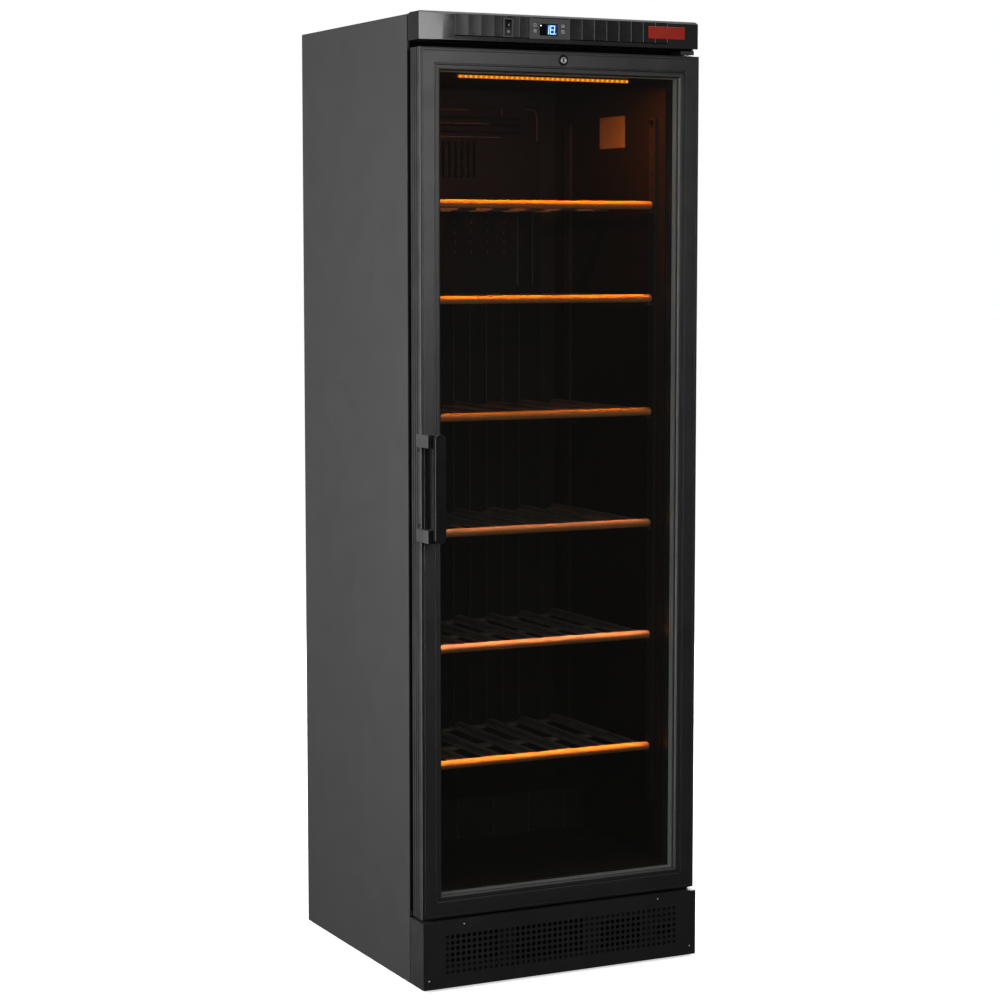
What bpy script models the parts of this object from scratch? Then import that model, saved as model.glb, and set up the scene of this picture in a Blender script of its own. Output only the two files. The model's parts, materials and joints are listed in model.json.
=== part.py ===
"""Upright wine cooler with a glass door: a steel casing foamed to a black liner, six pull-out
racks, a hinged double-glazed door with a lock and a side handle, a control panel along the top,
a plinth grille, and the cooling circuit behind and below the cavity.

Metres, +Z up, the front faces -Y. The origin is on the floor, under the middle of the overall box.
"""

import math

import bmesh
import bpy
from mathutils import Matrix, Vector

# --- Overall size -------------------------------------------------------------------------------
WIDTH = 0.595
HEIGHT = 1.840
DEPTH = 0.642
HALF_WIDTH = WIDTH / 2
GAP = 0.0003  # left between pieces that touch

# --- Planes from front to back ------------------------------------------------------------------
HANDLE_FRONT = -DEPTH / 2
DOOR_FRONT = HANDLE_FRONT + 0.047
PLINTH_FRONT = DOOR_FRONT - 0.008
HEADER_FRONT = DOOR_FRONT + 0.004
CABINET_FRONT = DOOR_FRONT + 0.055
CABINET_BACK = DOOR_FRONT + 0.574
CAVITY_BACK = CABINET_BACK - 0.055

# --- Levels from the floor up -------------------------------------------------------------------
SKIRT_BOTTOM = 0.005
BASE_BOTTOM = 0.009
PLINTH_TOP = 0.1345
DOOR_BOTTOM = 0.140
DOOR_TOP = 1.774
HEADER_BOTTOM = 1.788
CASING_TOP = 1.837
FOAM_BOTTOM = 0.147
MACHINE_ROOM_TOP = 0.236
CAVITY_BOTTOM = 0.187
CAVITY_TOP = 1.733
STEP_TOP = 0.275
STEP_FRONT = CAVITY_BACK - 0.135

# --- Sheet, liner and cavity --------------------------------------------------------------------
SHEET = 0.0015
LINER = 0.002
CAVITY_HALF_WIDTH = 0.254
INSIDE_CASING = HALF_WIDTH - SHEET - GAP

# --- Door ---------------------------------------------------------------------------------------
DOOR_THICKNESS = 0.044
DOOR_HALF_WIDTH = 0.296
DOOR_MIDDLE = (DOOR_BOTTOM + DOOR_TOP) / 2
DOOR_HALF_HEIGHT = (DOOR_TOP - DOOR_BOTTOM) / 2
HINGE_X = 0.280
HINGE_Y = DOOR_FRONT + 0.025
GLASS_INSET = 0.0342
PANE = 0.004
OUTER_PANE_DEPTH = 0.0085
INNER_PANE_DEPTH = 0.0262
LOCK_Z = 1.7577
LOCK_RADIUS = 0.0072
LOCK_STAND = 0.0025
KEYWAY = (0.0012, 0.006)
KEYWAY_DEPTH = 0.006

# --- Hinges -------------------------------------------------------------------------------------
HINGE_PLATE_X = (0.262, 0.2915)
HINGE_REACH = 0.013
HINGE_PLATES = {"upper": (1.7775, 1.7845), "lower": (0.1354, 0.1382)}
HINGE_FLANGE_ENDS = {"upper": 1.7755, "lower": 0.100}
HINGE_FLANGE = 0.003
HINGE_PIN_RADIUS = 0.004
HINGE_PIN_LENGTH = 0.018
HINGE_PIN_HEAD = 0.0065
HINGE_BUSH_BORE = 0.00425
HINGE_BUSH_RADIUS = 0.007

# --- Handle on the door's left edge -------------------------------------------------------------
HANDLE_BOTTOM = 0.861
HANDLE_TOP = 1.064
HANDLE_THICKNESS = 0.013
HANDLE_X = (-0.288, -0.2665)
BRACKET_HEIGHT = 0.0245
HANDLE_SCREWS = {"upper": 1.0316, "lower": 0.8910}
HANDLE_SCREW_Y = DOOR_FRONT + 0.010
HANDLE_SCREW_HOLE = 0.0022

# --- Header over the door -----------------------------------------------------------------------
HEADER_HALF_WIDTH = 0.2955
HEADER_CHAMFER = 0.0042
HEADER_WALL = 0.003
KEEPER_HALF_WIDTH = 0.014
KEEPER_Z = (1.7765, 1.786)
KEEPER_WALL = 0.0018

# --- Control panel ------------------------------------------------------------------------------
CONTROLLER_X = (-0.0695, 0.0161)
CONTROLLER_Z = (1.796, 1.834)
DISPLAY_X = (-0.0482, -0.0106)
DISPLAY_Z = (1.8028, 1.8242)
CONTROLLER_FRONT = HEADER_FRONT - 0.0012
CONTROLLER_DEPTH = 0.039
WINDOW_DEPTH = 0.003
BUTTON_SIDE = 0.007
BUTTON_STAND = 0.0006
BUTTON_DEPTH = 0.005
BUTTON_WELL_DEPTH = 0.0075
BUTTONS = {
    "button_set": (-0.0585, 1.8210),
    "button_defrost": (-0.0585, 1.8108),
    "button_up": (0.0005, 1.8210),
    "button_down": (0.0005, 1.8108),
}
SWITCH_X = (-0.1245, -0.1025)
SWITCH_Z = (1.797, 1.832)
ROCKER_PIVOT = Vector((-0.1135, HEADER_FRONT + 0.008, 1.8145))
ROCKER_HALF_WIDTH = 0.0063
ROCKER_TILT = math.radians(7)
ROCKER_CLEARANCE = 0.0004
BADGE_X = (0.1855, 0.2655)
BADGE_Z = (1.8055, 1.8285)

# --- Racks and their uprights -------------------------------------------------------------------
RACK_LEVELS = (0.413, 0.639, 0.863, 1.0845, 1.308, 1.490)
RACK_HALF_WIDTH = 0.243
RACK_FRONT = -0.190
RACK_BACK = 0.195
RAIL_DEPTH = 0.018
RAIL_HEIGHT = 0.0155
SLAT_COUNT = 7
SLAT_WIDTH = 0.030
SLAT_THICKNESS = 0.010
UPRIGHT_X = (0.2472, CAVITY_HALF_WIDTH - GAP)
UPRIGHT_WIDTH = 0.024
UPRIGHT_Z = (0.300, 1.660)
UPRIGHT_Y = {"front": -0.178, "rear": 0.180}

# --- Running gear, compressor and condenser -----------------------------------------------------
FOOT_X = 0.250
FOOT_Y = -0.185
FOOT_STUD_RADIUS = 0.005
ROLLER_X = 0.268
ROLLER_Y = 0.262
ROLLER_RADIUS = 0.015
ROLLER_HALF_WIDTH = 0.008
ROLLER_PIN_RADIUS = 0.004
COMPRESSOR_X = 0.085
COMPRESSOR_Y = 0.190
POT_RADIUS = 0.078
POT_STRAIGHT = (0.075, 0.150)
POT_DOME = 0.045
TRAY_HALF_SIZE = (0.085, 0.075)
TRAY_Z = (0.1960, 0.2260)
TRAY_WALL = 0.002
SOCKET_X = -0.200
SOCKET_Z = 0.072
SOCKET_BODY = (0.0135, 0.010)
SOCKET_MOUTH = (0.0118, 0.0083)
SOCKET_DEPTH = 0.020
CONDENSER_TUBE = 0.004
CONDENSER_Y = DEPTH / 2 - CONDENSER_TUBE
CONDENSER_Z = (0.300, 1.700)

# --- Evaporator ---------------------------------------------------------------------------------
COVER_HALF_WIDTH = 0.195
COVER_FRONT = 0.201
COVER_Z = (0.300, 1.700)
COVER_WALL = 0.002
AIR_SLOT_HALF_WIDTH = 0.150
AIR_SLOT_HEIGHT = 0.006
AIR_SLOTS = (0.320, 0.334, 0.348, 1.642, 1.656, 1.670)
COIL_TUBE = 0.004
COIL_Y = 0.228
COIL_Z = (0.900, 1.440)
FAN_Z = 1.590
FAN_Y = 0.219
FAN_RADIUS = 0.056
FAN_HUB = 0.018
FAN_BLADES = 5
FAN_GRILLE_Z = (FAN_Z - 0.040, FAN_Z + 0.034)
FAN_GRILLE_PITCH = 0.014


# --- Scene and small helpers --------------------------------------------------------------------
def clear_scene():
    for obj in list(bpy.data.objects):
        bpy.data.objects.remove(obj, do_unlink=True)


def new_collection(name):
    collection = bpy.data.collections.new(name)
    bpy.context.scene.collection.children.link(collection)
    return collection


def material(name, colour, roughness, metallic=0.0, alpha=1.0, emission=0.0):
    made = bpy.data.materials.new(name)
    made.use_nodes = True
    shader = made.node_tree.nodes["Principled BSDF"]
    shader.inputs["Base Color"].default_value = (*colour, 1.0)
    shader.inputs["Roughness"].default_value = roughness
    shader.inputs["Metallic"].default_value = metallic
    shader.inputs["Alpha"].default_value = alpha
    shader.inputs["Emission Color"].default_value = (*colour, 1.0)
    shader.inputs["Emission Strength"].default_value = emission
    return made


def mesh_from(bm, name):
    bmesh.ops.recalc_face_normals(bm, faces=bm.faces)
    mesh = bpy.data.meshes.new(name)
    bm.to_mesh(mesh)
    bm.free()
    return mesh


def add_piece(name, mesh, colour, roughness, metallic=0.0, **more):
    """A visible piece of the appliance, with a material of its own."""
    obj = bpy.data.objects.new(name, mesh)
    mesh.materials.clear()
    mesh.materials.append(material(name, colour, roughness, metallic, **more))
    PARTS.objects.link(obj)
    return obj


def add_helper(mesh):
    """A hidden shape that is only cut from a piece or joined to it."""
    obj = bpy.data.objects.new("helper_" + mesh.name, mesh)
    obj.hide_render = True
    obj.display_type = "WIRE"
    CUTTERS.objects.link(obj)
    return obj


def combine(obj, mesh, operation):
    modifier = obj.modifiers.new(operation.lower(), "BOOLEAN")
    modifier.operation = operation
    modifier.solver = "EXACT"
    modifier.object = add_helper(mesh)


def cut(obj, *meshes):
    for mesh in meshes:
        combine(obj, mesh, "DIFFERENCE")


def join(obj, *meshes):
    for mesh in meshes:
        combine(obj, mesh, "UNION")


def round_edges(obj, width, segments=2, angle=40):
    modifier = obj.modifiers.new("round_edges", "BEVEL")
    modifier.width = width
    modifier.segments = segments
    modifier.limit_method = "ANGLE"
    modifier.angle_limit = math.radians(angle)


def smooth(mesh):
    mesh.shade_smooth()
    mesh.set_sharp_from_angle(angle=math.radians(35))
    return mesh


def axis_empty(name, point):
    empty = bpy.data.objects.new(name, None)
    empty.location = point
    empty.empty_display_size = 0.05
    PARTS.objects.link(empty)
    return empty


def hang_on(empty, *pieces):
    """Hangs pieces drawn in world coordinates on an empty that stands on their joint's axis."""
    for piece in pieces:
        piece.data.transform(Matrix.Translation(-empty.location))
        piece.parent = empty


# --- Shapes -------------------------------------------------------------------------------------
def box(x, y, z, name="box"):
    """A box between the low and high values of x, y and z."""
    bm = bmesh.new()
    size = Vector((x[1] - x[0], y[1] - y[0], z[1] - z[0]))
    middle = Vector((x[0] + x[1], y[0] + y[1], z[0] + z[1])) / 2
    bmesh.ops.create_cube(bm, size=1.0, matrix=Matrix.Translation(middle) @ Matrix.Diagonal((*size, 1)))
    return mesh_from(bm, name)


def rod(start, end, radius, segments=24, name="rod"):
    """A round bar from one point to another."""
    start = Vector(start)
    along = Vector(end) - start
    turn = Vector((0, 0, 1)).rotation_difference(along).to_matrix().to_4x4()
    place = Matrix.Translation(start + along / 2) @ turn
    bm = bmesh.new()
    bmesh.ops.create_cone(bm, cap_ends=True, segments=segments, radius1=radius, radius2=radius,
                          depth=along.length, matrix=place)
    return smooth(mesh_from(bm, name))


def hood(x, y, z, chamfer):
    """A box whose top is chamfered along the front and both ends."""
    bm = bmesh.new()
    bm.from_mesh(box(x, y, z))
    edges = [edge for edge in bm.edges
             if all(vert.co.z > z[1] - GAP for vert in edge.verts)
             and any(vert.co.y < y[1] - GAP for vert in edge.verts)]
    bmesh.ops.bevel(bm, geom=edges, offset=chamfer, segments=1, affect="EDGES")
    return mesh_from(bm, "hood")


def prism(outline, axis, low, high, name="prism"):
    """An outline drawn in the plane across an axis, pushed along that axis from low to high."""
    bm = bmesh.new()
    corners = []
    for first, second in outline:
        point = [first, second]
        point.insert(axis, low)
        corners.append(bm.verts.new(point))
    pushed = bmesh.ops.extrude_face_region(bm, geom=[bm.faces.new(corners)])
    push = Vector((0, 0, 0))
    push[axis] = high - low
    moved = [item for item in pushed["geom"] if isinstance(item, bmesh.types.BMVert)]
    bmesh.ops.translate(bm, vec=push, verts=moved)
    return mesh_from(bm, name)


def turned(profile, centre, axis="Z", steps=24, name="turned"):
    """A closed profile of (radius, height) points, spun round an axis through the centre."""
    bm = bmesh.new()
    points = [bm.verts.new((radius, 0, height)) for radius, height in profile]
    edges = [bm.edges.new((points[i - 1], points[i])) for i in range(len(points))]
    bmesh.ops.spin(bm, geom=points + edges, cent=(0, 0, 0), axis=(0, 0, 1),
                   angle=math.tau, steps=steps, use_merge=True)
    bmesh.ops.remove_doubles(bm, verts=bm.verts, dist=1e-6)
    along = {"X": Vector((1, 0, 0)), "Y": Vector((0, 1, 0)), "Z": Vector((0, 0, 1))}[axis]
    turn = Vector((0, 0, 1)).rotation_difference(along).to_matrix().to_4x4()
    bmesh.ops.transform(bm, matrix=Matrix.Translation(centre) @ turn, verts=bm.verts)
    return smooth(mesh_from(bm, name))


def mitred_ring(section, name="ring"):
    """The door's four sides in one ring: a section of (inset from the edge, depth from the front)
    points runs round the door and is mitred at the corners."""
    bm = bmesh.new()
    loops = []
    for side_x, side_z in ((-1, -1), (1, -1), (1, 1), (-1, 1)):
        loops.append([
            bm.verts.new((side_x * (DOOR_HALF_WIDTH - inset), DOOR_FRONT + depth,
                          DOOR_MIDDLE + side_z * (DOOR_HALF_HEIGHT - inset)))
            for inset, depth in section
        ])
    for i, loop in enumerate(loops):
        before = loops[i - 1]
        for j in range(len(section)):
            bm.faces.new((before[j - 1], before[j], loop[j], loop[j - 1]))
    return mesh_from(bm, name)


def rounded_outline(x, z, radius, steps=6):
    """A rectangle with round corners, as (x, z) points."""
    centres = ((x[1] - radius, z[1] - radius, 0), (x[0] + radius, z[1] - radius, 90),
               (x[0] + radius, z[0] + radius, 180), (x[1] - radius, z[0] + radius, 270))
    return [
        (cx + radius * math.cos(math.radians(start + 90 * i / steps)),
         cz + radius * math.sin(math.radians(start + 90 * i / steps)))
        for cx, cz, start in centres for i in range(steps + 1)
    ]


def serpentine(half_width, low, high, passes, y):
    """Points of a tube that runs to and fro across the appliance, with half-round bends."""
    pitch = (high - low) / (passes - 1)
    bend = pitch / 2
    reach = half_width - bend
    points = [(-half_width, y, low)]
    for i in range(passes - 1):
        side = 1 if i % 2 == 0 else -1
        middle = low + pitch * i + bend
        for step in range(5):
            angle = math.radians(-90 + 45 * step)
            points.append((side * (reach + bend * math.cos(angle)), y, middle + bend * math.sin(angle)))
    end_side = 1 if passes % 2 else -1
    points.append((end_side * half_width, y, high))
    return points


def tube(name, points, radius):
    """A round tube along a line of points, as a mesh with closed ends."""
    curve = bpy.data.curves.new(name, "CURVE")
    curve.dimensions = "3D"
    curve.bevel_depth = radius
    curve.bevel_resolution = 2
    curve.use_fill_caps = True
    spline = curve.splines.new("POLY")
    spline.points.add(len(points) - 1)
    for spline_point, point in zip(spline.points, points):
        spline_point.co = (*point, 1)
    guide = bpy.data.objects.new(name + "_guide", curve)
    CUTTERS.objects.link(guide)
    bpy.context.view_layer.update()
    graph = bpy.context.evaluated_depsgraph_get()
    mesh = bpy.data.meshes.new_from_object(guide.evaluated_get(graph))
    bpy.data.objects.remove(guide)
    bm = bmesh.new()
    bm.from_mesh(mesh)
    bmesh.ops.remove_doubles(bm, verts=bm.verts, dist=1e-6)
    return smooth(mesh_from(bm, name))


# --- Cabinet ------------------------------------------------------------------------------------
def outer_casing():
    """One sheet bent over the top and down both sides."""
    bm = bmesh.new()
    path = ((-HALF_WIDTH, SKIRT_BOTTOM), (-HALF_WIDTH, CASING_TOP),
            (HALF_WIDTH, CASING_TOP), (HALF_WIDTH, SKIRT_BOTTOM))
    points = [bm.verts.new((x, CABINET_FRONT, z)) for x, z in path]
    edges = [bm.edges.new(pair) for pair in zip(points, points[1:])]
    pushed = bmesh.ops.extrude_edge_only(bm, edges=edges)["geom"]
    moved = [item for item in pushed if isinstance(item, bmesh.types.BMVert)]
    bmesh.ops.translate(bm, vec=(0, CABINET_BACK - CABINET_FRONT, 0), verts=moved)
    sheet = bpy.data.meshes.new("casing")
    bm.to_mesh(sheet)
    bm.free()
    casing = add_piece("outer_casing", sheet, (0.035, 0.036, 0.038), 0.42)
    round_edges(casing, 0.002, segments=3)
    thickness = casing.modifiers.new("sheet", "SOLIDIFY")
    thickness.thickness = SHEET
    thickness.offset = 1.0
    smooth(sheet)


def rear_panel():
    sheet = box((-INSIDE_CASING, INSIDE_CASING), (CABINET_BACK - 0.0017, CABINET_BACK - 0.0002),
                (MACHINE_ROOM_TOP, CASING_TOP - SHEET - 0.0005))
    add_piece("rear_panel", sheet, (0.045, 0.046, 0.048), 0.5)


def cavity_outline(grow):
    """The cavity seen from the side, with the step over the machine room; grow moves the walls
    outwards."""
    return (
        (CABINET_FRONT, CAVITY_BOTTOM - grow),
        (STEP_FRONT + grow, CAVITY_BOTTOM - grow),
        (STEP_FRONT + grow, STEP_TOP - grow),
        (CAVITY_BACK + grow, STEP_TOP - grow),
        (CAVITY_BACK + grow, CAVITY_TOP + grow),
        (CABINET_FRONT, CAVITY_TOP + grow),
    )


def cavity_solid(grow, forward=0.0):
    half = CAVITY_HALF_WIDTH + grow
    outline = [(y - forward if y == CABINET_FRONT else y, z) for y, z in cavity_outline(grow)]
    return prism(outline, 0, -half, half, "cavity")


def foam_insulation():
    block = box((-INSIDE_CASING, INSIDE_CASING),
                (CABINET_FRONT + LINER + GAP, CABINET_BACK - 0.002),
                (FOAM_BOTTOM, CASING_TOP - SHEET - GAP))
    foam = add_piece("foam_insulation", block, (0.75, 0.68, 0.45), 0.95)
    machine_room = box((-0.3, 0.3), (STEP_FRONT - 0.030, CABINET_BACK + 0.01),
                       (FOAM_BOTTOM - 0.01, MACHINE_ROOM_TOP))
    cut(foam, cavity_solid(LINER + GAP, forward=0.01), machine_room)


def inner_liner():
    """A formed tray whose front flange covers the foam and carries the gasket."""
    liner = add_piece("inner_liner", cavity_solid(LINER), (0.012, 0.012, 0.013), 0.38)
    flange = box((-INSIDE_CASING, INSIDE_CASING), (CABINET_FRONT, CABINET_FRONT + LINER),
                 (FOAM_BOTTOM, CASING_TOP - SHEET - GAP))
    join(liner, flange)
    cut(liner, cavity_solid(0.0, forward=0.01))


def base_frame():
    """Bottom pan with a tall front wall, roller ears and pins, and a bracket for the mains inlet."""
    front = CABINET_FRONT + 0.002
    back = CABINET_BACK - 0.0021
    wall = 0.002
    top = BASE_BOTTOM + wall
    buried = top - 0.001  # a joined wall starts inside the pan's thickness
    half = INSIDE_CASING
    base = add_piece("base_frame", box((-half, half), (front, back), (BASE_BOTTOM, 0.040)),
                     (0.30, 0.31, 0.32), 0.45, 0.8)
    cut(base, box((SHEET - half, half - SHEET), (front + wall, back - wall), (top, 0.1)))
    join(base,
         box((0.001 - half, half - 0.001), (front + GAP, front + 0.0017), (buried, FOAM_BOTTOM - GAP)),
         box((SOCKET_X - 0.035, SOCKET_X + 0.035), (back - 0.0017, back - GAP), (buried, SOCKET_Z + 0.025)))
    for middle in (-ROLLER_X, ROLLER_X):
        roller_mounting(base, middle, buried)
    for x in (-FOOT_X, FOOT_X):
        cut(base, rod((x, FOOT_Y, 0), (x, FOOT_Y, 0.02), FOOT_STUD_RADIUS + 0.0005, 16))
    vent = box((-0.245, 0.245), (front - 0.001, front + 0.003), (0.045, 0.104))
    half_x, half_z = SOCKET_BODY
    inlet = box((SOCKET_X - half_x - GAP, SOCKET_X + half_x + GAP), (back - 0.005, back + 0.001),
                (SOCKET_Z - half_z - GAP, SOCKET_Z + half_z + GAP))
    cut(base, vent, inlet)


def roller_mounting(base, middle, buried):
    """A slot in the pan, an ear on each side of it and the pin that the roller turns on."""
    slot = ROLLER_HALF_WIDTH + 0.001
    cut(base, box((middle - slot, middle + slot), (ROLLER_Y - 0.018, ROLLER_Y + 0.018),
                  (BASE_BOTTOM - 0.001, buried + 0.002)))
    for ear in (-1, 1):
        near = middle + ear * (slot + GAP)
        join(base, box(sorted((near, near + ear * 0.0025)), (ROLLER_Y - 0.010, ROLLER_Y + 0.010),
                       (buried, 0.026)))
    join(base, rod((middle - slot - 0.002, ROLLER_Y, ROLLER_RADIUS),
                   (middle + slot + 0.002, ROLLER_Y, ROLLER_RADIUS), ROLLER_PIN_RADIUS, 16))


def header_cover():
    """Moulded canopy over the door, open at the back, with windows for the controls."""
    half = HEADER_HALF_WIDTH
    shell = hood((-half, half), (HEADER_FRONT, CABINET_FRONT - GAP), (HEADER_BOTTOM, HEIGHT), HEADER_CHAMFER)
    header = add_piece("header_cover", shell, (0.012, 0.012, 0.013), 0.3)
    inside = half - HEADER_WALL
    cut(header, hood((-inside, inside), (HEADER_FRONT + HEADER_WALL, CABINET_FRONT + 0.01),
                     (HEADER_BOTTOM + HEADER_WALL, HEIGHT - HEADER_WALL), HEADER_CHAMFER / 2))
    through = (HEADER_FRONT - 0.01, HEADER_FRONT + 0.02)
    for x, z in ((CONTROLLER_X, CONTROLLER_Z), (SWITCH_X, SWITCH_Z)):
        cut(header, box((x[0] - GAP, x[1] + GAP), through, (z[0] - GAP, z[1] + GAP)))


def plinth_grille():
    """Folded front skirt, open below and behind, with a notch for the lower hinge."""
    back = CABINET_FRONT - 0.0005
    skirt = add_piece("plinth_grille", box((-HALF_WIDTH, HALF_WIDTH), (PLINTH_FRONT, back),
                                           (SKIRT_BOTTOM, PLINTH_TOP)), (0.02, 0.02, 0.021), 0.45)
    inside = (-HALF_WIDTH + SHEET, HALF_WIDTH - SHEET)
    cut(skirt, box(inside, (PLINTH_FRONT + SHEET, back + 0.01), (0.0, PLINTH_TOP - SHEET)),
        box(inside, (back - 0.0045, back + 0.01), (PLINTH_TOP - 0.01, PLINTH_TOP + 0.01)))


def lock_keeper():
    """Downturned channel over the door that the turned cam hooks behind."""
    front = DOOR_FRONT + 0.038
    back = CABINET_FRONT - 0.0004
    low, high = KEEPER_Z
    wall = KEEPER_WALL
    outline = ((front, low), (front + wall, low), (front + wall, high - wall), (back - wall, high - wall),
               (back - wall, low), (back, low), (back, high), (front, high))
    add_piece("lock_keeper", prism(outline, 0, -KEEPER_HALF_WIDTH, KEEPER_HALF_WIDTH),
              (0.35, 0.35, 0.36), 0.35, 1.0)


# --- Controls -----------------------------------------------------------------------------------
def controller():
    """The thermostat's case and its dark window."""
    front = CONTROLLER_FRONT
    case = add_piece("controller_case", box(CONTROLLER_X, (front, front + CONTROLLER_DEPTH), CONTROLLER_Z),
                     (0.10, 0.105, 0.11), 0.35)
    window_bottom = front + WINDOW_DEPTH
    cut(case, box(DISPLAY_X, (front - 0.01, window_bottom), DISPLAY_Z))
    lens = box((DISPLAY_X[0] + GAP, DISPLAY_X[1] - GAP), (front, window_bottom - GAP),
               (DISPLAY_Z[0] + GAP, DISPLAY_Z[1] - GAP))
    add_piece("display_lens", lens, (0.005, 0.01, 0.03), 0.1)
    for name, place in BUTTONS.items():
        sprung_key(case, name, *place)


def sprung_key(case, name, x, z):
    """One key in its well in the thermostat's case."""
    half = BUTTON_SIDE / 2
    well = half + GAP
    cut(case, box((x - well, x + well), (CONTROLLER_FRONT - 0.01, CONTROLLER_FRONT + BUTTON_WELL_DEPTH),
                  (z - well, z + well)))
    depth = (CONTROLLER_FRONT - BUTTON_STAND, CONTROLLER_FRONT + BUTTON_DEPTH)
    key = add_piece(name, box((x - half, x + half), depth, (z - half, z + half)), (0.16, 0.165, 0.17), 0.5)
    hang_on(axis_empty(name + "_axis", (x, CONTROLLER_FRONT, z)), key)


def light_switch():
    """Snap-in frame and a rocker that tips about its middle."""
    front = HEADER_FRONT - 0.001
    frame = add_piece("light_switch_frame", box(SWITCH_X, (front, front + 0.026), SWITCH_Z),
                      (0.03, 0.03, 0.032), 0.4)
    x, y, z = ROCKER_PIVOT
    edge = 0.0126
    clear_x = ROCKER_HALF_WIDTH + ROCKER_CLEARANCE
    clear_z = edge + 0.0017
    cut(frame, box((x - clear_x, x + clear_x), (front - 0.01, front + 0.04), (z - clear_z, z + clear_z)))
    outline = ((-0.011, edge), (-0.009, 0.0), (-0.011, -edge), (0.0, -0.011), (0.006, -0.004),
               (0.006, 0.004), (0.0, 0.011))
    shape = prism(outline, 0, -ROCKER_HALF_WIDTH, ROCKER_HALF_WIDTH, "rocker")
    shape.transform(Matrix.Translation(ROCKER_PIVOT) @ Matrix.Rotation(ROCKER_TILT, 4, "X"))
    rocker = add_piece("light_switch_rocker", shape, (0.006, 0.006, 0.007), 0.25)
    hang_on(axis_empty("rocker_axis", ROCKER_PIVOT), rocker)


def badge_plate():
    plate = add_piece("badge_plate", box(BADGE_X, (HEADER_FRONT - 0.0015, HEADER_FRONT - GAP), BADGE_Z),
                      (0.55, 0.02, 0.02), 0.3)
    round_edges(plate, 0.0003, segments=1)


# --- Door ---------------------------------------------------------------------------------------
def frame_section():
    """Section of the door's frame: a grooved outer edge, a rebate for the glass and a rear lip."""
    groove = 0.0012
    edge = [(0.0, 0.0025), (0.0008, 0.0008), (0.0025, 0.0)]
    rebate = [(0.0316, 0.0), (0.0316, 0.0084), (0.0338, 0.0084), (0.0338, 0.0307),
              (0.042, 0.0307), (0.042, 0.043), (0.041, DOOR_THICKNESS), (0.002, DOOR_THICKNESS),
              (0.0, 0.042)]
    grooves = []
    for depth in (0.0365, 0.0265, 0.0165):
        grooves += [(0.0, depth), (groove, depth), (groove, depth - 0.0022), (0.0, depth - 0.0022)]
    return edge + rebate + grooves


def door_frame(hinge_axis):
    """Mitred frame, bored for the lock, the two hinge bushes and the handle's screws."""
    frame = add_piece("door_frame", mitred_ring(frame_section()), (0.014, 0.014, 0.015), 0.4)
    cut(frame, rod((0, DOOR_FRONT - 0.01, LOCK_Z), (0, DOOR_FRONT + 0.06, LOCK_Z), LOCK_RADIUS + 2 * GAP))
    seat = HINGE_BUSH_RADIUS + GAP
    depth = HINGE_PIN_LENGTH + 0.001
    cut(frame, rod((HINGE_X, HINGE_Y, DOOR_TOP - depth), (HINGE_X, HINGE_Y, DOOR_TOP + 0.01), seat),
        rod((HINGE_X, HINGE_Y, DOOR_BOTTOM - 0.01), (HINGE_X, HINGE_Y, DOOR_BOTTOM + depth), seat))
    for z in HANDLE_SCREWS.values():
        cut(frame, rod((-HALF_WIDTH, HANDLE_SCREW_Y, z), (0.012 - DOOR_HALF_WIDTH, HANDLE_SCREW_Y, z),
                       HANDLE_SCREW_HOLE, 12))
    hang_on(hinge_axis, frame)


def glazing(hinge_axis):
    """Two panes held apart by a spacer, a bead in front and the magnetic gasket behind."""
    half_width = DOOR_HALF_WIDTH - GLASS_INSET
    z = (DOOR_BOTTOM + GLASS_INSET, DOOR_TOP - GLASS_INSET)
    for name, depth in (("glass_outer", OUTER_PANE_DEPTH), ("glass_inner", INNER_PANE_DEPTH)):
        y = DOOR_FRONT + depth
        pane = add_piece(name, box((-half_width, half_width), (y, y + PANE), z),
                         (0.10, 0.09, 0.08), 0.03, alpha=0.35)
        hang_on(hinge_axis, pane)
    spacer_front = OUTER_PANE_DEPTH + PANE + GAP
    spacer_back = INNER_PANE_DEPTH - GAP
    spacer = ((0.036, spacer_front), (0.0435, spacer_front), (0.0435, spacer_back), (0.036, spacer_back))
    bead = ((0.032, 0.0012), (0.0375, 0.0012), (0.0425, 0.005), (0.0425, 0.0081), (0.032, 0.0081))
    gasket = ((0.030, 0.0443), (0.039, 0.0443), (0.041, 0.048), (0.040, 0.0544), (0.029, 0.0544),
              (0.028, 0.048))
    hang_on(hinge_axis,
            add_piece("glass_spacer", mitred_ring(spacer), (0.5, 0.5, 0.48), 0.35, 1.0),
            add_piece("glazing_bead", mitred_ring(bead), (0.014, 0.014, 0.015), 0.4),
            add_piece("door_gasket", mitred_ring(gasket), (0.02, 0.02, 0.02), 0.8))


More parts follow.
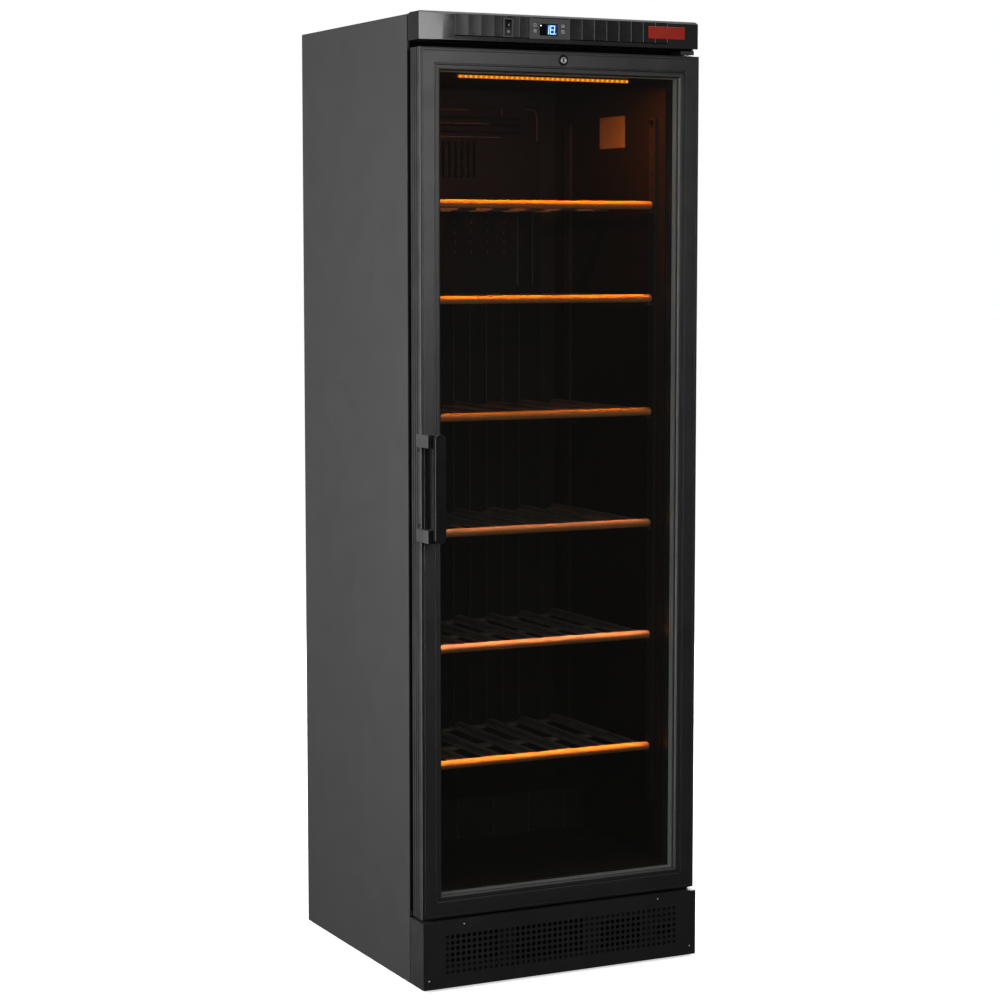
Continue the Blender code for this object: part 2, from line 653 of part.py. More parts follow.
def door_lock(hinge_axis):
    """Cylinder and cam that turn together in the top rail, inside a fixed ring."""
    bore = LOCK_RADIUS + 0.0004
    rim = 0.0098
    ring = ((bore, -0.0018), (rim, -0.0012), (rim, -GAP), (bore, -GAP))
    escutcheon = add_piece("lock_escutcheon", turned(ring, (0, DOOR_FRONT, LOCK_Z), "Y"),
                           (0.01, 0.01, 0.01), 0.3)
    hang_on(hinge_axis, escutcheon)
    front = DOOR_FRONT - LOCK_STAND
    back = DOOR_FRONT + DOOR_THICKNESS
    cylinder = add_piece("lock_cylinder", rod((0, front, LOCK_Z), (0, back, LOCK_Z), LOCK_RADIUS),
                         (0.7, 0.7, 0.72), 0.2, 1.0)
    width, height = KEYWAY
    cut(cylinder, box((-width / 2, width / 2), (front - 0.01, front + KEYWAY_DEPTH),
                      (LOCK_Z - height / 2, LOCK_Z + height / 2)))
    half_height = 0.005
    outline = rounded_outline((-0.024, 0.006), (LOCK_Z - half_height, LOCK_Z + half_height), 0.0045, 3)
    cam = add_piece("lock_cam", prism(outline, 1, back + GAP, back + GAP + 0.0025),
                    (0.45, 0.45, 0.46), 0.3, 1.0)
    hang_on(axis_empty("lock_axis", (0, DOOR_FRONT, LOCK_Z)), cylinder, cam)


def door_handle(hinge_axis):
    """Flat bar on two screwed brackets that reach round the door's left edge."""
    bar_back = HANDLE_FRONT + HANDLE_THICKNESS - GAP
    outline = rounded_outline(HANDLE_X, (HANDLE_BOTTOM, HANDLE_TOP), 0.008, 4)
    bar = add_piece("handle_bar", prism(outline, 1, HANDLE_FRONT, bar_back), (0.012, 0.012, 0.013), 0.3)
    round_edges(bar, 0.0015, segments=2, angle=60)
    smooth(bar.data)
    hang_on(hinge_axis, bar)
    handle_bracket("lower", HANDLE_BOTTOM - 0.0005, hinge_axis)
    handle_bracket("upper", HANDLE_TOP - 0.0015 - BRACKET_HEIGHT, hinge_axis)


def handle_bracket(place, low, hinge_axis):
    """An angle from the back of the bar to the door's side, and the screw through it."""
    front = HANDLE_FRONT + HANDLE_THICKNESS
    near_face = DOOR_FRONT - GAP
    side = -DOOR_HALF_WIDTH - GAP
    inner = -0.277
    rear = DOOR_FRONT + 0.021
    outline = ((-HALF_WIDTH, front), (inner, front), (inner, near_face), (side, near_face), (side, rear),
               (-HALF_WIDTH, rear))
    bracket = add_piece("handle_bracket_" + place, prism(outline, 2, low, low + BRACKET_HEIGHT),
                        (0.04, 0.04, 0.042), 0.35)
    rim, shank, length, stand = 0.0037, 0.0018, 0.010, 0.0011
    profile = ((0.0, stand), (0.0028, stand), (rim, 0.0004), (rim, 0.0), (shank, 0.0), (shank, -length),
               (0.0, -length))
    screw = add_piece("handle_screw_" + place, turned(profile, (0, 0, 0), "Z", 12),
                      (0.03, 0.03, 0.03), 0.4, 0.6)
    screw.data.transform(Matrix.Translation((side, HANDLE_SCREW_Y, HANDLE_SCREWS[place]))
                         @ Matrix.Rotation(math.radians(-90), 4, "Y"))
    hang_on(hinge_axis, bracket, screw)


def hinge_profiles():
    """Turned profiles of the pin and the bush at each end of the door."""
    pin = HINGE_PIN_RADIUS
    head = HINGE_PIN_HEAD
    bore = HINGE_BUSH_BORE
    bush = HINGE_BUSH_RADIUS
    flange = 0.0095
    seat = HINGE_PLATES["upper"][1] + GAP
    tip = DOOR_TOP - HINGE_PIN_LENGTH + 0.001
    crown = seat + 0.0026
    top = DOOR_TOP + GAP
    upper_pin = ((0.0, crown), (head, crown), (head, seat), (pin, seat), (pin, tip), (0.0, tip))
    upper_bush = ((bore, top + 0.002), (flange, top + 0.002), (flange, top), (bush, top),
                  (bush, DOOR_TOP - HINGE_PIN_LENGTH), (bore, DOOR_TOP - HINGE_PIN_LENGTH))
    root = HINGE_PLATES["lower"][0] + GAP
    collar = HINGE_PLATES["lower"][1] + GAP
    tip = DOOR_BOTTOM + HINGE_PIN_LENGTH
    collar_top = collar + 0.0011
    lower_pin = ((0.0, tip), (pin, tip), (pin, collar_top), (0.006, collar_top), (0.006, collar),
                 (pin, collar), (pin, root), (0.0, root))
    lower_bush = ((bore, tip + 0.0005), (bush, tip + 0.0005), (bush, DOOR_BOTTOM), (bore, DOOR_BOTTOM))
    return {"upper": (upper_pin, upper_bush), "lower": (lower_pin, lower_bush)}


def hinges(hinge_axis):
    """A bracket and pin above and below the door, and the bush that turns on each pin."""
    back = CABINET_FRONT - 0.0005
    front = HINGE_Y - HINGE_REACH
    for name, (pin_profile, bush_profile) in hinge_profiles().items():
        low, high = HINGE_PLATES[name]
        end = HINGE_FLANGE_ENDS[name]
        outline = ((front, low), (back - HINGE_FLANGE, low), (back - HINGE_FLANGE, end), (back, end),
                   (back, high), (front, high))
        bracket = add_piece("hinge_bracket_" + name, prism(outline, 0, *HINGE_PLATE_X),
                            (0.02, 0.02, 0.02), 0.4, 0.5)
        cut(bracket, rod((HINGE_X, HINGE_Y, low - 0.005), (HINGE_X, HINGE_Y, high + 0.005),
                         HINGE_PIN_RADIUS + GAP))
        add_piece("hinge_pin_" + name, turned(pin_profile, (HINGE_X, HINGE_Y, 0)), (0.6, 0.6, 0.6), 0.3, 1.0)
        bush = add_piece("hinge_bush_" + name, turned(bush_profile, (HINGE_X, HINGE_Y, 0)),
                         (0.75, 0.75, 0.72), 0.5)
        hang_on(hinge_axis, bush)


# --- Cavity fittings ----------------------------------------------------------------------------
def rack_mesh():
    """One rack: a slotted deck of slats and cross bars behind a rounded front rail."""
    deck_top = 0.004
    deck = bpy.data.objects.new("rack_draft", box(
        (-RACK_HALF_WIDTH, RACK_HALF_WIDTH), (RACK_FRONT + 0.006, RACK_BACK),
        (deck_top - SLAT_THICKNESS, deck_top)))
    CUTTERS.objects.link(deck)
    pitch = (2 * RACK_HALF_WIDTH - SLAT_WIDTH) / (SLAT_COUNT - 1)
    bays = ((RACK_FRONT + RAIL_DEPTH, -0.010), (0.012, RACK_BACK - 0.018))
    for i in range(SLAT_COUNT - 1):
        left = -RACK_HALF_WIDTH + SLAT_WIDTH + pitch * i
        for bay in bays:
            cut(deck, box((left, left + pitch - SLAT_WIDTH), bay, (-0.02, 0.02)))
    rail = prism(rounded_outline((RACK_FRONT, RACK_FRONT + RAIL_DEPTH),
                                 (-RAIL_HEIGHT / 2, RAIL_HEIGHT / 2), 0.005, 3),
                 0, -RACK_HALF_WIDTH, RACK_HALF_WIDTH, "rail")
    join(deck, rail)
    bpy.context.view_layer.update()
    graph = bpy.context.evaluated_depsgraph_get()
    mesh = bpy.data.meshes.new_from_object(deck.evaluated_get(graph))
    bpy.data.objects.remove(deck)
    return mesh


def racks():
    mesh = rack_mesh()
    for i, level in enumerate(RACK_LEVELS):
        rack = add_piece(f"rack_{i + 1}", mesh.copy(), (0.24, 0.12, 0.05), 0.55)
        rack.location.z = level


def uprights():
    """Four ladder strips on the side walls, each with a lug under every rack."""
    lug_top = -RAIL_HEIGHT / 2 - GAP
    for side_name, side in (("left", -1), ("right", 1)):
        for place, y in UPRIGHT_Y.items():
            strip = box(sorted((side * UPRIGHT_X[0], side * UPRIGHT_X[1])),
                        (y - UPRIGHT_WIDTH / 2, y + UPRIGHT_WIDTH / 2), UPRIGHT_Z)
            upright = add_piece(f"upright_{place}_{side_name}", strip, (0.02, 0.02, 0.021), 0.4, 0.5)
            for level in RACK_LEVELS:
                top = level + lug_top if place == "front" else level + 0.004 - SLAT_THICKNESS - GAP
                join(upright, box(sorted((side * (UPRIGHT_X[0] + 0.002), side * 0.236)),
                                  (y - 0.008, y + 0.008), (top - 0.007, top)))


def led_strip():
    """Sloping lamp housing across the front of the cavity's ceiling."""
    outline = ((-0.201, CAVITY_TOP - GAP), (-0.201, 1.7265), (-0.197, 1.7245), (-0.190, 1.7245),
               (-0.184, 1.7290), (-0.184, CAVITY_TOP - GAP))
    add_piece("led_strip", prism(outline, 0, -0.190, 0.190), (1.0, 0.45, 0.10), 0.4, emission=2.0)


def evaporator_cover():
    """Shallow tray over the coil, with air slots above and below and a grille over the fan."""
    back = CAVITY_BACK - 0.0004
    wall = COVER_WALL
    inside = COVER_HALF_WIDTH - wall
    cover = add_piece("evaporator_cover", box((-COVER_HALF_WIDTH, COVER_HALF_WIDTH), (COVER_FRONT, back),
                                              COVER_Z), (0.014, 0.014, 0.015), 0.4)
    cut(cover, box((-inside, inside), (COVER_FRONT + wall, back + 0.01),
                   (COVER_Z[0] + wall, COVER_Z[1] - wall)))
    through = (COVER_FRONT - 0.01, COVER_FRONT + 0.005)
    for level in AIR_SLOTS:
        cut(cover, box((-AIR_SLOT_HALF_WIDTH, AIR_SLOT_HALF_WIDTH), through,
                       (level, level + AIR_SLOT_HEIGHT)))
    half = AIR_SLOT_HEIGHT / 2
    for i in range(-3, 4):
        middle = i * FAN_GRILLE_PITCH
        cut(cover, box((middle - half, middle + half), through, FAN_GRILLE_Z))


def evaporator_coil():
    coil = tube("evaporator_coil", serpentine(0.160, *COIL_Z, 10, COIL_Y), COIL_TUBE)
    add_piece("evaporator_coil", coil, (0.55, 0.3, 0.2), 0.35, 1.0)


def evaporator_fan():
    """Motor on the back wall and a rotor with pitched blades."""
    motor = rod((0, FAN_Y + 0.009, FAN_Z), (0, CAVITY_BACK - 0.0007, FAN_Z), FAN_HUB + 0.001, 20)
    add_piece("fan_motor", motor, (0.05, 0.05, 0.05), 0.4, 0.7)
    hub = rod((0, FAN_Y - 0.008, FAN_Z), (0, FAN_Y + 0.008, FAN_Z), FAN_HUB, 20)
    rotor = add_piece("evaporator_fan", hub, (0.03, 0.03, 0.03), 0.5)
    for i in range(FAN_BLADES):
        blade = box((-0.013, 0.013), (-0.001, 0.001), (FAN_HUB - 0.004, FAN_RADIUS), "blade")
        blade.transform(Matrix.Translation((0, FAN_Y, FAN_Z))
                        @ Matrix.Rotation(math.tau * i / FAN_BLADES, 4, "Y")
                        @ Matrix.Rotation(math.radians(26), 4, "Z"))
        join(rotor, blade)
    hang_on(axis_empty("fan_axis", (0, FAN_Y, FAN_Z)), rotor)


# --- Machine room -------------------------------------------------------------------------------
def pot_profile(steps=5):
    """Half the sealed pot's outline: a dome below, a straight wall and a dome above."""
    low, high = POT_STRAIGHT
    angles = [math.pi / 2 * i / steps for i in range(steps + 1)]
    lower = [(POT_RADIUS * math.sin(angle), low - POT_DOME * math.cos(angle)) for angle in angles]
    upper = [(POT_RADIUS * math.sin(angle), high + POT_DOME * math.cos(angle)) for angle in reversed(angles)]
    return lower + upper


def compressor():
    """Sealed steel pot on a mounting plate with a rubber-footed runner at each end."""
    x, y = COMPRESSOR_X, COMPRESSOR_Y
    pot = add_piece("compressor", turned(pot_profile(), (x, y, 0), steps=28), (0.01, 0.01, 0.011), 0.3, 0.3)
    join(pot, box((x - 0.100, x + 0.100), (y - 0.060, y + 0.060), (0.034, 0.038)))
    for near, far in ((-0.096, -0.080), (0.080, 0.096)):
        join(pot, box((x + near, x + far), (y - 0.056, y + 0.056), (0.0114, 0.036)))


def drip_tray():
    """Open pan over the compressor, whose warmth dries the defrost water."""
    half_x, half_y = TRAY_HALF_SIZE
    low, high = TRAY_Z

    def pan(inset, bottom, top):
        return box((COMPRESSOR_X - half_x + inset, COMPRESSOR_X + half_x - inset),
                   (COMPRESSOR_Y - half_y + inset, COMPRESSOR_Y + half_y - inset), (bottom, top))

    tray = add_piece("drip_tray", pan(0.0, low, high), (0.10, 0.10, 0.10), 0.6)
    cut(tray, pan(TRAY_WALL, low + TRAY_WALL, high + 0.01))


def inlet_socket():
    """Three-pin mains inlet in the rear bracket: its flange stands outside, its mouth faces back."""
    back = CABINET_BACK - 0.0021

    def block(half_x, half_z, y, middle=0.0):
        return box((SOCKET_X + middle - half_x, SOCKET_X + middle + half_x), y,
                   (SOCKET_Z - half_z, SOCKET_Z + half_z))

    socket = add_piece("inlet_socket", block(0.020, 0.014, (back + GAP, back + 0.0024)),
                       (0.01, 0.01, 0.01), 0.45)
    join(socket, block(*SOCKET_BODY, (back - SOCKET_DEPTH, back + 0.001)))
    cut(socket, block(*SOCKET_MOUTH, (back - SOCKET_DEPTH + 0.004, back + 0.01)))
    for offset in (-0.007, 0.0, 0.007):
        join(socket, block(0.001, 0.002, (back - SOCKET_DEPTH + 0.003, back - 0.002), offset))


def condenser():
    coil = tube("condenser", serpentine(0.245, *CONDENSER_Z, 15, CONDENSER_Y), CONDENSER_TUBE)
    add_piece("condenser", coil, (0.015, 0.015, 0.016), 0.45, 0.3)


def running_gear():
    """Screw feet under the front corners and rollers under the rear ones."""
    foot_profile = ((0.0, 0.0), (0.015, 0.0), (0.017, 0.002), (0.017, 0.007), (FOOT_STUD_RADIUS, 0.007),
                    (FOOT_STUD_RADIUS, 0.038), (0.0, 0.038))
    bore = ROLLER_PIN_RADIUS + GAP
    rim = 0.001
    half = ROLLER_HALF_WIDTH
    roller_profile = ((bore, -half), (ROLLER_RADIUS - rim, -half), (ROLLER_RADIUS, -half + rim),
                      (ROLLER_RADIUS, half - rim), (ROLLER_RADIUS - rim, half), (bore, half))
    for name, side in (("left", -1), ("right", 1)):
        foot = add_piece("foot_front_" + name, turned(foot_profile, (side * FOOT_X, FOOT_Y, 0)),
                         (0.02, 0.02, 0.02), 0.6)
        hang_on(axis_empty(f"foot_{name}_axis", (side * FOOT_X, FOOT_Y, 0)), foot)
        centre = (side * ROLLER_X, ROLLER_Y, ROLLER_RADIUS)
        roller = add_piece("roller_rear_" + name, turned(roller_profile, centre, "X"),
                           (0.03, 0.03, 0.03), 0.6)
        hang_on(axis_empty(f"roller_{name}_axis", centre), roller)


# --- Build --------------------------------------------------------------------------------------
clear_scene()
PARTS = new_collection("wine_cooler")
CUTTERS = new_collection("cutters")

outer_casing()
rear_panel()
foam_insulation()
inner_liner()
base_frame()
header_cover()
plinth_grille()
lock_keeper()
controller()
light_switch()
badge_plate()

door_axis = axis_empty("door_axis", (HINGE_X, HINGE_Y, 0))
door_frame(door_axis)
glazing(door_axis)
door_lock(door_axis)
door_handle(door_axis)
hinges(door_axis)

racks()
uprights()
led_strip()
evaporator_cover()
evaporator_coil()
evaporator_fan()
compressor()
drip_tray()
inlet_socket()
condenser()
running_gear()
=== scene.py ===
"""Looks of the upright wine cooler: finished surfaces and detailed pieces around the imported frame.

Metres, +Z up, the front faces -Y. Places come from the frame's own boxes; sizes of fine detail are
the named values below.
"""

import json
import math

import bmesh
import bpy
from mathutils import Matrix, Vector

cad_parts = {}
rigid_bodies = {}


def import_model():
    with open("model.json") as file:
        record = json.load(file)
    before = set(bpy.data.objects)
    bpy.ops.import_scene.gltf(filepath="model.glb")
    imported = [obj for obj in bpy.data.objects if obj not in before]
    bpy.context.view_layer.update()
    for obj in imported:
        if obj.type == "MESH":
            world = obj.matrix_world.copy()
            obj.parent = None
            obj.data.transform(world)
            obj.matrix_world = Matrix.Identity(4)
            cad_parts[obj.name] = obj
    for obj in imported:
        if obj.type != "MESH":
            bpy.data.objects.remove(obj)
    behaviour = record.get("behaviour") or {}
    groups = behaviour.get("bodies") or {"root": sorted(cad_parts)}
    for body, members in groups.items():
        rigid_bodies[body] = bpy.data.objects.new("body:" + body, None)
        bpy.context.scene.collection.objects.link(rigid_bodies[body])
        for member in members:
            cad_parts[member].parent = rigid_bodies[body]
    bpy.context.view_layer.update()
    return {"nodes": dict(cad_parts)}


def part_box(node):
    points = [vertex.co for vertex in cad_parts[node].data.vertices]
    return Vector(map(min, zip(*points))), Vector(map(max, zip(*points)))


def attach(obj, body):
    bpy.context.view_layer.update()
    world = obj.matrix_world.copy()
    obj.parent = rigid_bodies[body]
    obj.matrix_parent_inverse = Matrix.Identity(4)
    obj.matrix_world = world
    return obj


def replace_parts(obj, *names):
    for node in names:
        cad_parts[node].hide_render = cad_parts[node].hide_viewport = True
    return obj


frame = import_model()

# --- Places read from the frame ---------------------------
DOOR_LOW, DOOR_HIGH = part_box("door_frame")
HEADER_LOW, HEADER_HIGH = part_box("header_cover")
PLINTH_LOW, PLINTH_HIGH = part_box("plinth_grille")
CASE_LOW, CASE_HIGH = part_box("controller_case")
LENS_LOW, LENS_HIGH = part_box("display_lens")
SWITCH_LOW, SWITCH_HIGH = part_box("light_switch_frame")
LOCK_LOW, LOCK_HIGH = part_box("lock_cylinder")
LINER_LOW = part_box("inner_liner")[0]
COVER_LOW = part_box("evaporator_cover")[0]
LAMP_LOW, LAMP_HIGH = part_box("led_strip")
COIL_LOW, COIL_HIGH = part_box("condenser")
POT_LOW, POT_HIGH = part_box("compressor")
PANEL_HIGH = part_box("rear_panel")[1]

DOOR_FRONT = DOOR_LOW.y
DOOR_MIDDLE = (DOOR_LOW + DOOR_HIGH) / 2
DOOR_HALF_WIDTH = (DOOR_HIGH.x - DOOR_LOW.x) / 2
DOOR_HALF_HEIGHT = (DOOR_HIGH.z - DOOR_LOW.z) / 2
DOOR_THICKNESS = DOOR_HIGH.y - DOOR_LOW.y
LOCK_CENTRE = (LOCK_LOW + LOCK_HIGH) / 2
BUTTONS = ("button_set", "button_defrost", "button_up", "button_down")
RACKS = tuple(f"rack_{i}" for i in range(1, 7))

# --- Sizes of the fine detail -----------------------------
HOLE_COLUMNS = 44
HOLE_ROWS = 7
HOLE_PITCH = (0.01155, 0.01140)
HOLE_RADIUS = 0.0040
HOLE_FIELD_BOTTOM = 0.0292
BAFFLE_WINDOWS = ((1, 9, 2, 6), (13, 25, 1, 6), (29, 36, 1, 5), (40, 42, 2, 3))  # columns, rows
PLINTH_SCREWS = ((-0.212, 0.125), (0.212, 0.125), (-0.285, 0.0215), (0.285, 0.0215))

RIB_LEFT = -0.2223
RIB_PITCH = 0.0265
RIB_PANELS = 17
RIB_BAND = (1.7958, 1.8362)
RIB_RECESS = 0.0022

SWITCH_PIVOT = (-0.262, 1.8145)
SWITCH_REST_TIP = 7

LED_COUNT = 34
SLAT_COUNT = 7
SLAT_TOP = 0.016
SLAT_FOOT = 0.040
WIRE_PITCH = 0.0085
WIRE_RADIUS = 0.0007
TUBE_RADIUS = 0.0030
UPRIGHT_DEPTH = 0.0065
SWAGE_PITCH = 0.033
SLOT_PITCH = 0.0307
SLOT_HALF_WIDTH = 0.0014
SLOT_HEIGHT = 0.009
CUT = 0.01  # how far a cutting shape stands out of the face it cuts
SLIVER = 0.0001  # how far it passes an edge that it meets at a slant
SAME_PLACE = 1e-6

# --- Light ------------------------------------------------
AMBER = (1.0, 0.180, 0.001)
RAIL_AMBER = (1.0, 0.400, 0.001)
TAN = (1.0, 0.46, 0.10)
WHITE = (1.0, 1.0, 1.0, 1.0)
AMBIENT = 0.015
FLOOR_GLOW = 0.62
FRONT_POWER = 60.0
SIDE_POWER = 340.0
RIGHT_POWER = 60.0
REAR_POWER = 90.0
CAVITY_POWER = 3.8
WARM = (1.0, 0.60, 0.50)
RAIL_GLOWS = ((0.44, TAN), (0.32, WARM), (0.11, WARM), (0.10, RAIL_AMBER), (0.40, RAIL_AMBER),
              (0.42, RAIL_AMBER))
CAVITY_NAMES = ("inner_liner", "evaporator_cover", "cover_ribs", "sensor_tube", "step_ribs", "liner_swages",
                "blank_label", "upright_", "rack_", "lamp_channel")


# --- Mesh building ----------------------------------------
def box(bm, x, y, z):
    size = Vector((x[1] - x[0], y[1] - y[0], z[1] - z[0]))
    middle = Vector((x[0] + x[1], y[0] + y[1], z[0] + z[1])) / 2
    bmesh.ops.create_cube(bm, size=1.0, matrix=Matrix.Translation(middle) @ Matrix.Diagonal((*size, 1)))
    return bm


def around(middle, half):
    """The two numbers that lie half either side of the middle."""
    return (middle - half, middle + half)


def block(low, high):
    """A box that fills the space between two corners."""
    return box(bmesh.new(), (low.x, high.x), (low.y, high.y), (low.z, high.z))


def rod(bm, start, end, radius, segments=24):
    start = Vector(start)
    along = Vector(end) - start
    turn = Vector((0, 0, 1)).rotation_difference(along).to_matrix().to_4x4()
    bmesh.ops.create_cone(bm, cap_ends=True, segments=segments, radius1=radius, radius2=radius,
                          depth=along.length, matrix=Matrix.Translation(start + along / 2) @ turn)
    return bm


def prism(bm, outline, axis, low, high):
    """An outline drawn in the plane across an axis, pushed along that axis from low to high."""
    corners = []
    for first, second in outline:
        point = [first, second]
        point.insert(axis, low)
        corners.append(bm.verts.new(point))
    pushed = bmesh.ops.extrude_face_region(bm, geom=[bm.faces.new(corners)])
    push = Vector((0, 0, 0))
    push[axis] = high - low
    moved = [item for item in pushed["geom"] if isinstance(item, bmesh.types.BMVert)]
    bmesh.ops.translate(bm, vec=push, verts=moved)
    return bm


def turned(bm, profile, centre, axis, steps=48):
    """A closed profile of (radius, height) points spun round an axis through the centre."""
    before = set(bm.verts)
    points = [bm.verts.new((radius, 0, height)) for radius, height in profile]
    edges = [bm.edges.new((points[i - 1], points[i])) for i in range(len(points))]
    bmesh.ops.spin(bm, geom=points + edges, cent=(0, 0, 0), axis=(0, 0, 1), angle=math.tau,
                   steps=steps, use_merge=True)
    verts = [vert for vert in bm.verts if vert not in before]
    along = {"X": Vector((1, 0, 0)), "Y": Vector((0, 1, 0)), "Z": Vector((0, 0, 1))}[axis]
    turn = Vector((0, 0, 1)).rotation_difference(along).to_matrix().to_4x4()
    bmesh.ops.transform(bm, matrix=Matrix.Translation(centre) @ turn, verts=verts)
    bmesh.ops.remove_doubles(bm, verts=verts, dist=SAME_PLACE)
    return bm


def door_ring(bm, section):
    """A section of (inset from the door's edge, depth from its front) run round the door."""
    loops = []
    for side_x, side_z in ((-1, -1), (1, -1), (1, 1), (-1, 1)):
        loops.append([
            bm.verts.new((DOOR_MIDDLE.x + side_x * (DOOR_HALF_WIDTH - inset), DOOR_FRONT + depth,
                          DOOR_MIDDLE.z + side_z * (DOOR_HALF_HEIGHT - inset)))
            for inset, depth in section
        ])
    for i, loop in enumerate(loops):
        before = loops[i - 1]
        for j in range(len(section)):
            bm.faces.new((before[j - 1], before[j], loop[j], loop[j - 1]))
    return bm


def rounded_outline(x, z, radius, steps=8):
    """A rectangle with round corners, as (x, z) points."""
    centres = ((x[1] - radius, z[1] - radius, 0), (x[0] + radius, z[1] - radius, 90),
               (x[0] + radius, z[0] + radius, 180), (x[1] - radius, z[0] + radius, 270))
    return [
        (cx + radius * math.cos(math.radians(start + 90 * i / steps)),
         cz + radius * math.sin(math.radians(start + 90 * i / steps)))
        for cx, cz, start in centres for i in range(steps + 1)
    ]


def arc(centre, radius, start, end, steps):
    """Points on a circle or an ellipse, from one angle in degrees to another."""
    wide, high = radius
    return [
        (centre[0] + wide * math.cos(math.radians(start + (end - start) * i / steps)),
         centre[1] + high * math.sin(math.radians(start + (end - start) * i / steps)))
        for i in range(steps + 1)
    ]


def placed(name, data):
    """A new object in the scene that shows the data."""
    obj = bpy.data.objects.new(name, data)
    bpy.context.scene.collection.objects.link(obj)
    return obj


def loose_object(name, bm):
    bmesh.ops.recalc_face_normals(bm, faces=bm.faces)
    mesh = bpy.data.meshes.new(name)
    bm.to_mesh(mesh)
    bm.free()
    return placed(name, mesh)


def combined(bm, tool, operation):
    """The shape left when the tool is cut from the first mesh or joined to it."""
    body = loose_object("draft_body", bm)
    other = loose_object("draft_tool", tool)
    modifier = body.modifiers.new("combine", "BOOLEAN")
    modifier.operation = operation
    modifier.solver = "EXACT"
    modifier.object = other
    bpy.context.view_layer.update()
    graph = bpy.context.evaluated_depsgraph_get()
    result = bmesh.new()
    result.from_mesh(body.evaluated_get(graph).to_mesh())
    for used in (body, other):
        bpy.data.objects.remove(used, do_unlink=True)
    return result


def carved(bm, tool):
    return combined(bm, tool, "DIFFERENCE")


def piece(name, bm, material, replaces=(), body="cabinet", bevel=0.0, segments=2, angle=30):
    """A finished piece: smooth shading with crisp edges, riding on the cabinet or another body."""
    obj = loose_object(name, bm)
    obj.data.materials.append(material)
    obj.data.shade_smooth()
    obj.data.set_sharp_from_angle(angle=math.radians(angle))
    if bevel:
        modifier = obj.modifiers.new("round_edges", "BEVEL")
        modifier.width = bevel
        modifier.segments = segments
        modifier.limit_method = "ANGLE"
        modifier.angle_limit = math.radians(angle)
        modifier.harden_normals = True
    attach(obj, body)
    if replaces:
        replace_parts(obj, *replaces)
    return obj


# --- Materials --------------------------------------------
def preset(node, **values):
    """Sets a node's sockets by name, with underscores for the spaces, and gives the node back."""
    for socket, value in values.items():
        node.inputs[socket.replace("_", " ")].default_value = value
    return node


class Finish:
    """A Principled material whose detail comes from noise in the object's own space."""

    def __init__(self, name, roughness, metallic=0.0, specular=0.5, coat=0.0):
        self.material = bpy.data.materials.new(name)
        self.material.use_nodes = True
        self.nodes = self.material.node_tree.nodes
        self.links = self.material.node_tree.links
        self.shader = preset(self.nodes["Principled BSDF"], Roughness=roughness, Metallic=metallic,
                             Specular_IOR_Level=specular, Coat_Weight=coat)
        self.place = self.nodes.new("ShaderNodeTexCoord").outputs["Object"]
        self.roughness = roughness

    def noise(self, size, detail=3.0, stretch=(1.0, 1.0, 1.0), distortion=0.0):
        """Noise whose features are about size metres across."""
        mapping = preset(self.nodes.new("ShaderNodeMapping"), Scale=stretch)
        texture = preset(self.nodes.new("ShaderNodeTexNoise"), Scale=1 / size, Detail=detail,
                         Distortion=distortion)
        self.links.new(self.place, mapping.inputs["Vector"])
        self.links.new(mapping.outputs["Vector"], texture.inputs["Vector"])
        return texture.outputs["Fac"]

    def colour_between(self, factor, dark, light, low=0.35, high=0.65):
        ramp = self.nodes.new("ShaderNodeValToRGB")
        for element, position, colour in zip(ramp.color_ramp.elements, (low, high), (dark, light)):
            element.position = position
            element.color = (*colour, 1.0)
        self.links.new(factor, ramp.inputs["Fac"])
        self.links.new(ramp.outputs["Color"], self.shader.inputs["Base Color"])

    def roughness_between(self, factor, spread):
        """Roughness that wanders by the spread either side of the finish's own value."""
        spread_map = preset(self.nodes.new("ShaderNodeMapRange"), From_Min=0.3, From_Max=0.7,
                            To_Min=self.roughness - spread, To_Max=self.roughness + spread)
        self.links.new(factor, spread_map.inputs["Value"])
        self.links.new(spread_map.outputs["Result"], self.shader.inputs["Roughness"])

    def bump(self, height, strength, distance):
        bump = preset(self.nodes.new("ShaderNodeBump"), Strength=strength, Distance=distance)
        self.links.new(height, bump.inputs["Height"])
        before = self.shader.inputs["Normal"].links
        if before:
            self.links.new(before[0].from_socket, bump.inputs["Normal"])
        self.links.new(bump.outputs["Normal"], self.shader.inputs["Normal"])


def shade(colour, factor):
    return tuple(channel * factor for channel in colour)


def grey(level):
    return (level, level, level)


def stretched(along, share):
    """A stretch of noise that draws it out along one axis."""
    return tuple(share if axis == along else 1.0 for axis in "XYZ")


def coated(name, colour, roughness, grain_size, grain, variation=0.12, spread=0.05, **more):
    """Paint, powder coat or moulded plastic: a fine grain, faint cloudiness and handling marks."""
    finish = Finish(name, roughness, **more)
    cloud = finish.noise(0.16, detail=5.0)
    finish.colour_between(cloud, shade(colour, 1 - variation), shade(colour, 1 + variation))
    finish.roughness_between(finish.noise(0.045, detail=6.0, distortion=0.4), spread)
    finish.bump(finish.noise(grain_size, detail=2.0), grain, grain_size * 0.25)
    return finish.material


def brushed(name, colour, roughness, along, streak=0.0012):
    """Bare metal with fine lines drawn along one axis."""
    finish = Finish(name, roughness, metallic=1.0)
    lines = finish.noise(streak, detail=4.0, stretch=stretched(along, 0.02))
    finish.colour_between(lines, shade(colour, 0.86), shade(colour, 1.08), 0.3, 0.7)
    finish.roughness_between(lines, 0.09)
    finish.bump(lines, 0.12, 0.0001)
    return finish.material


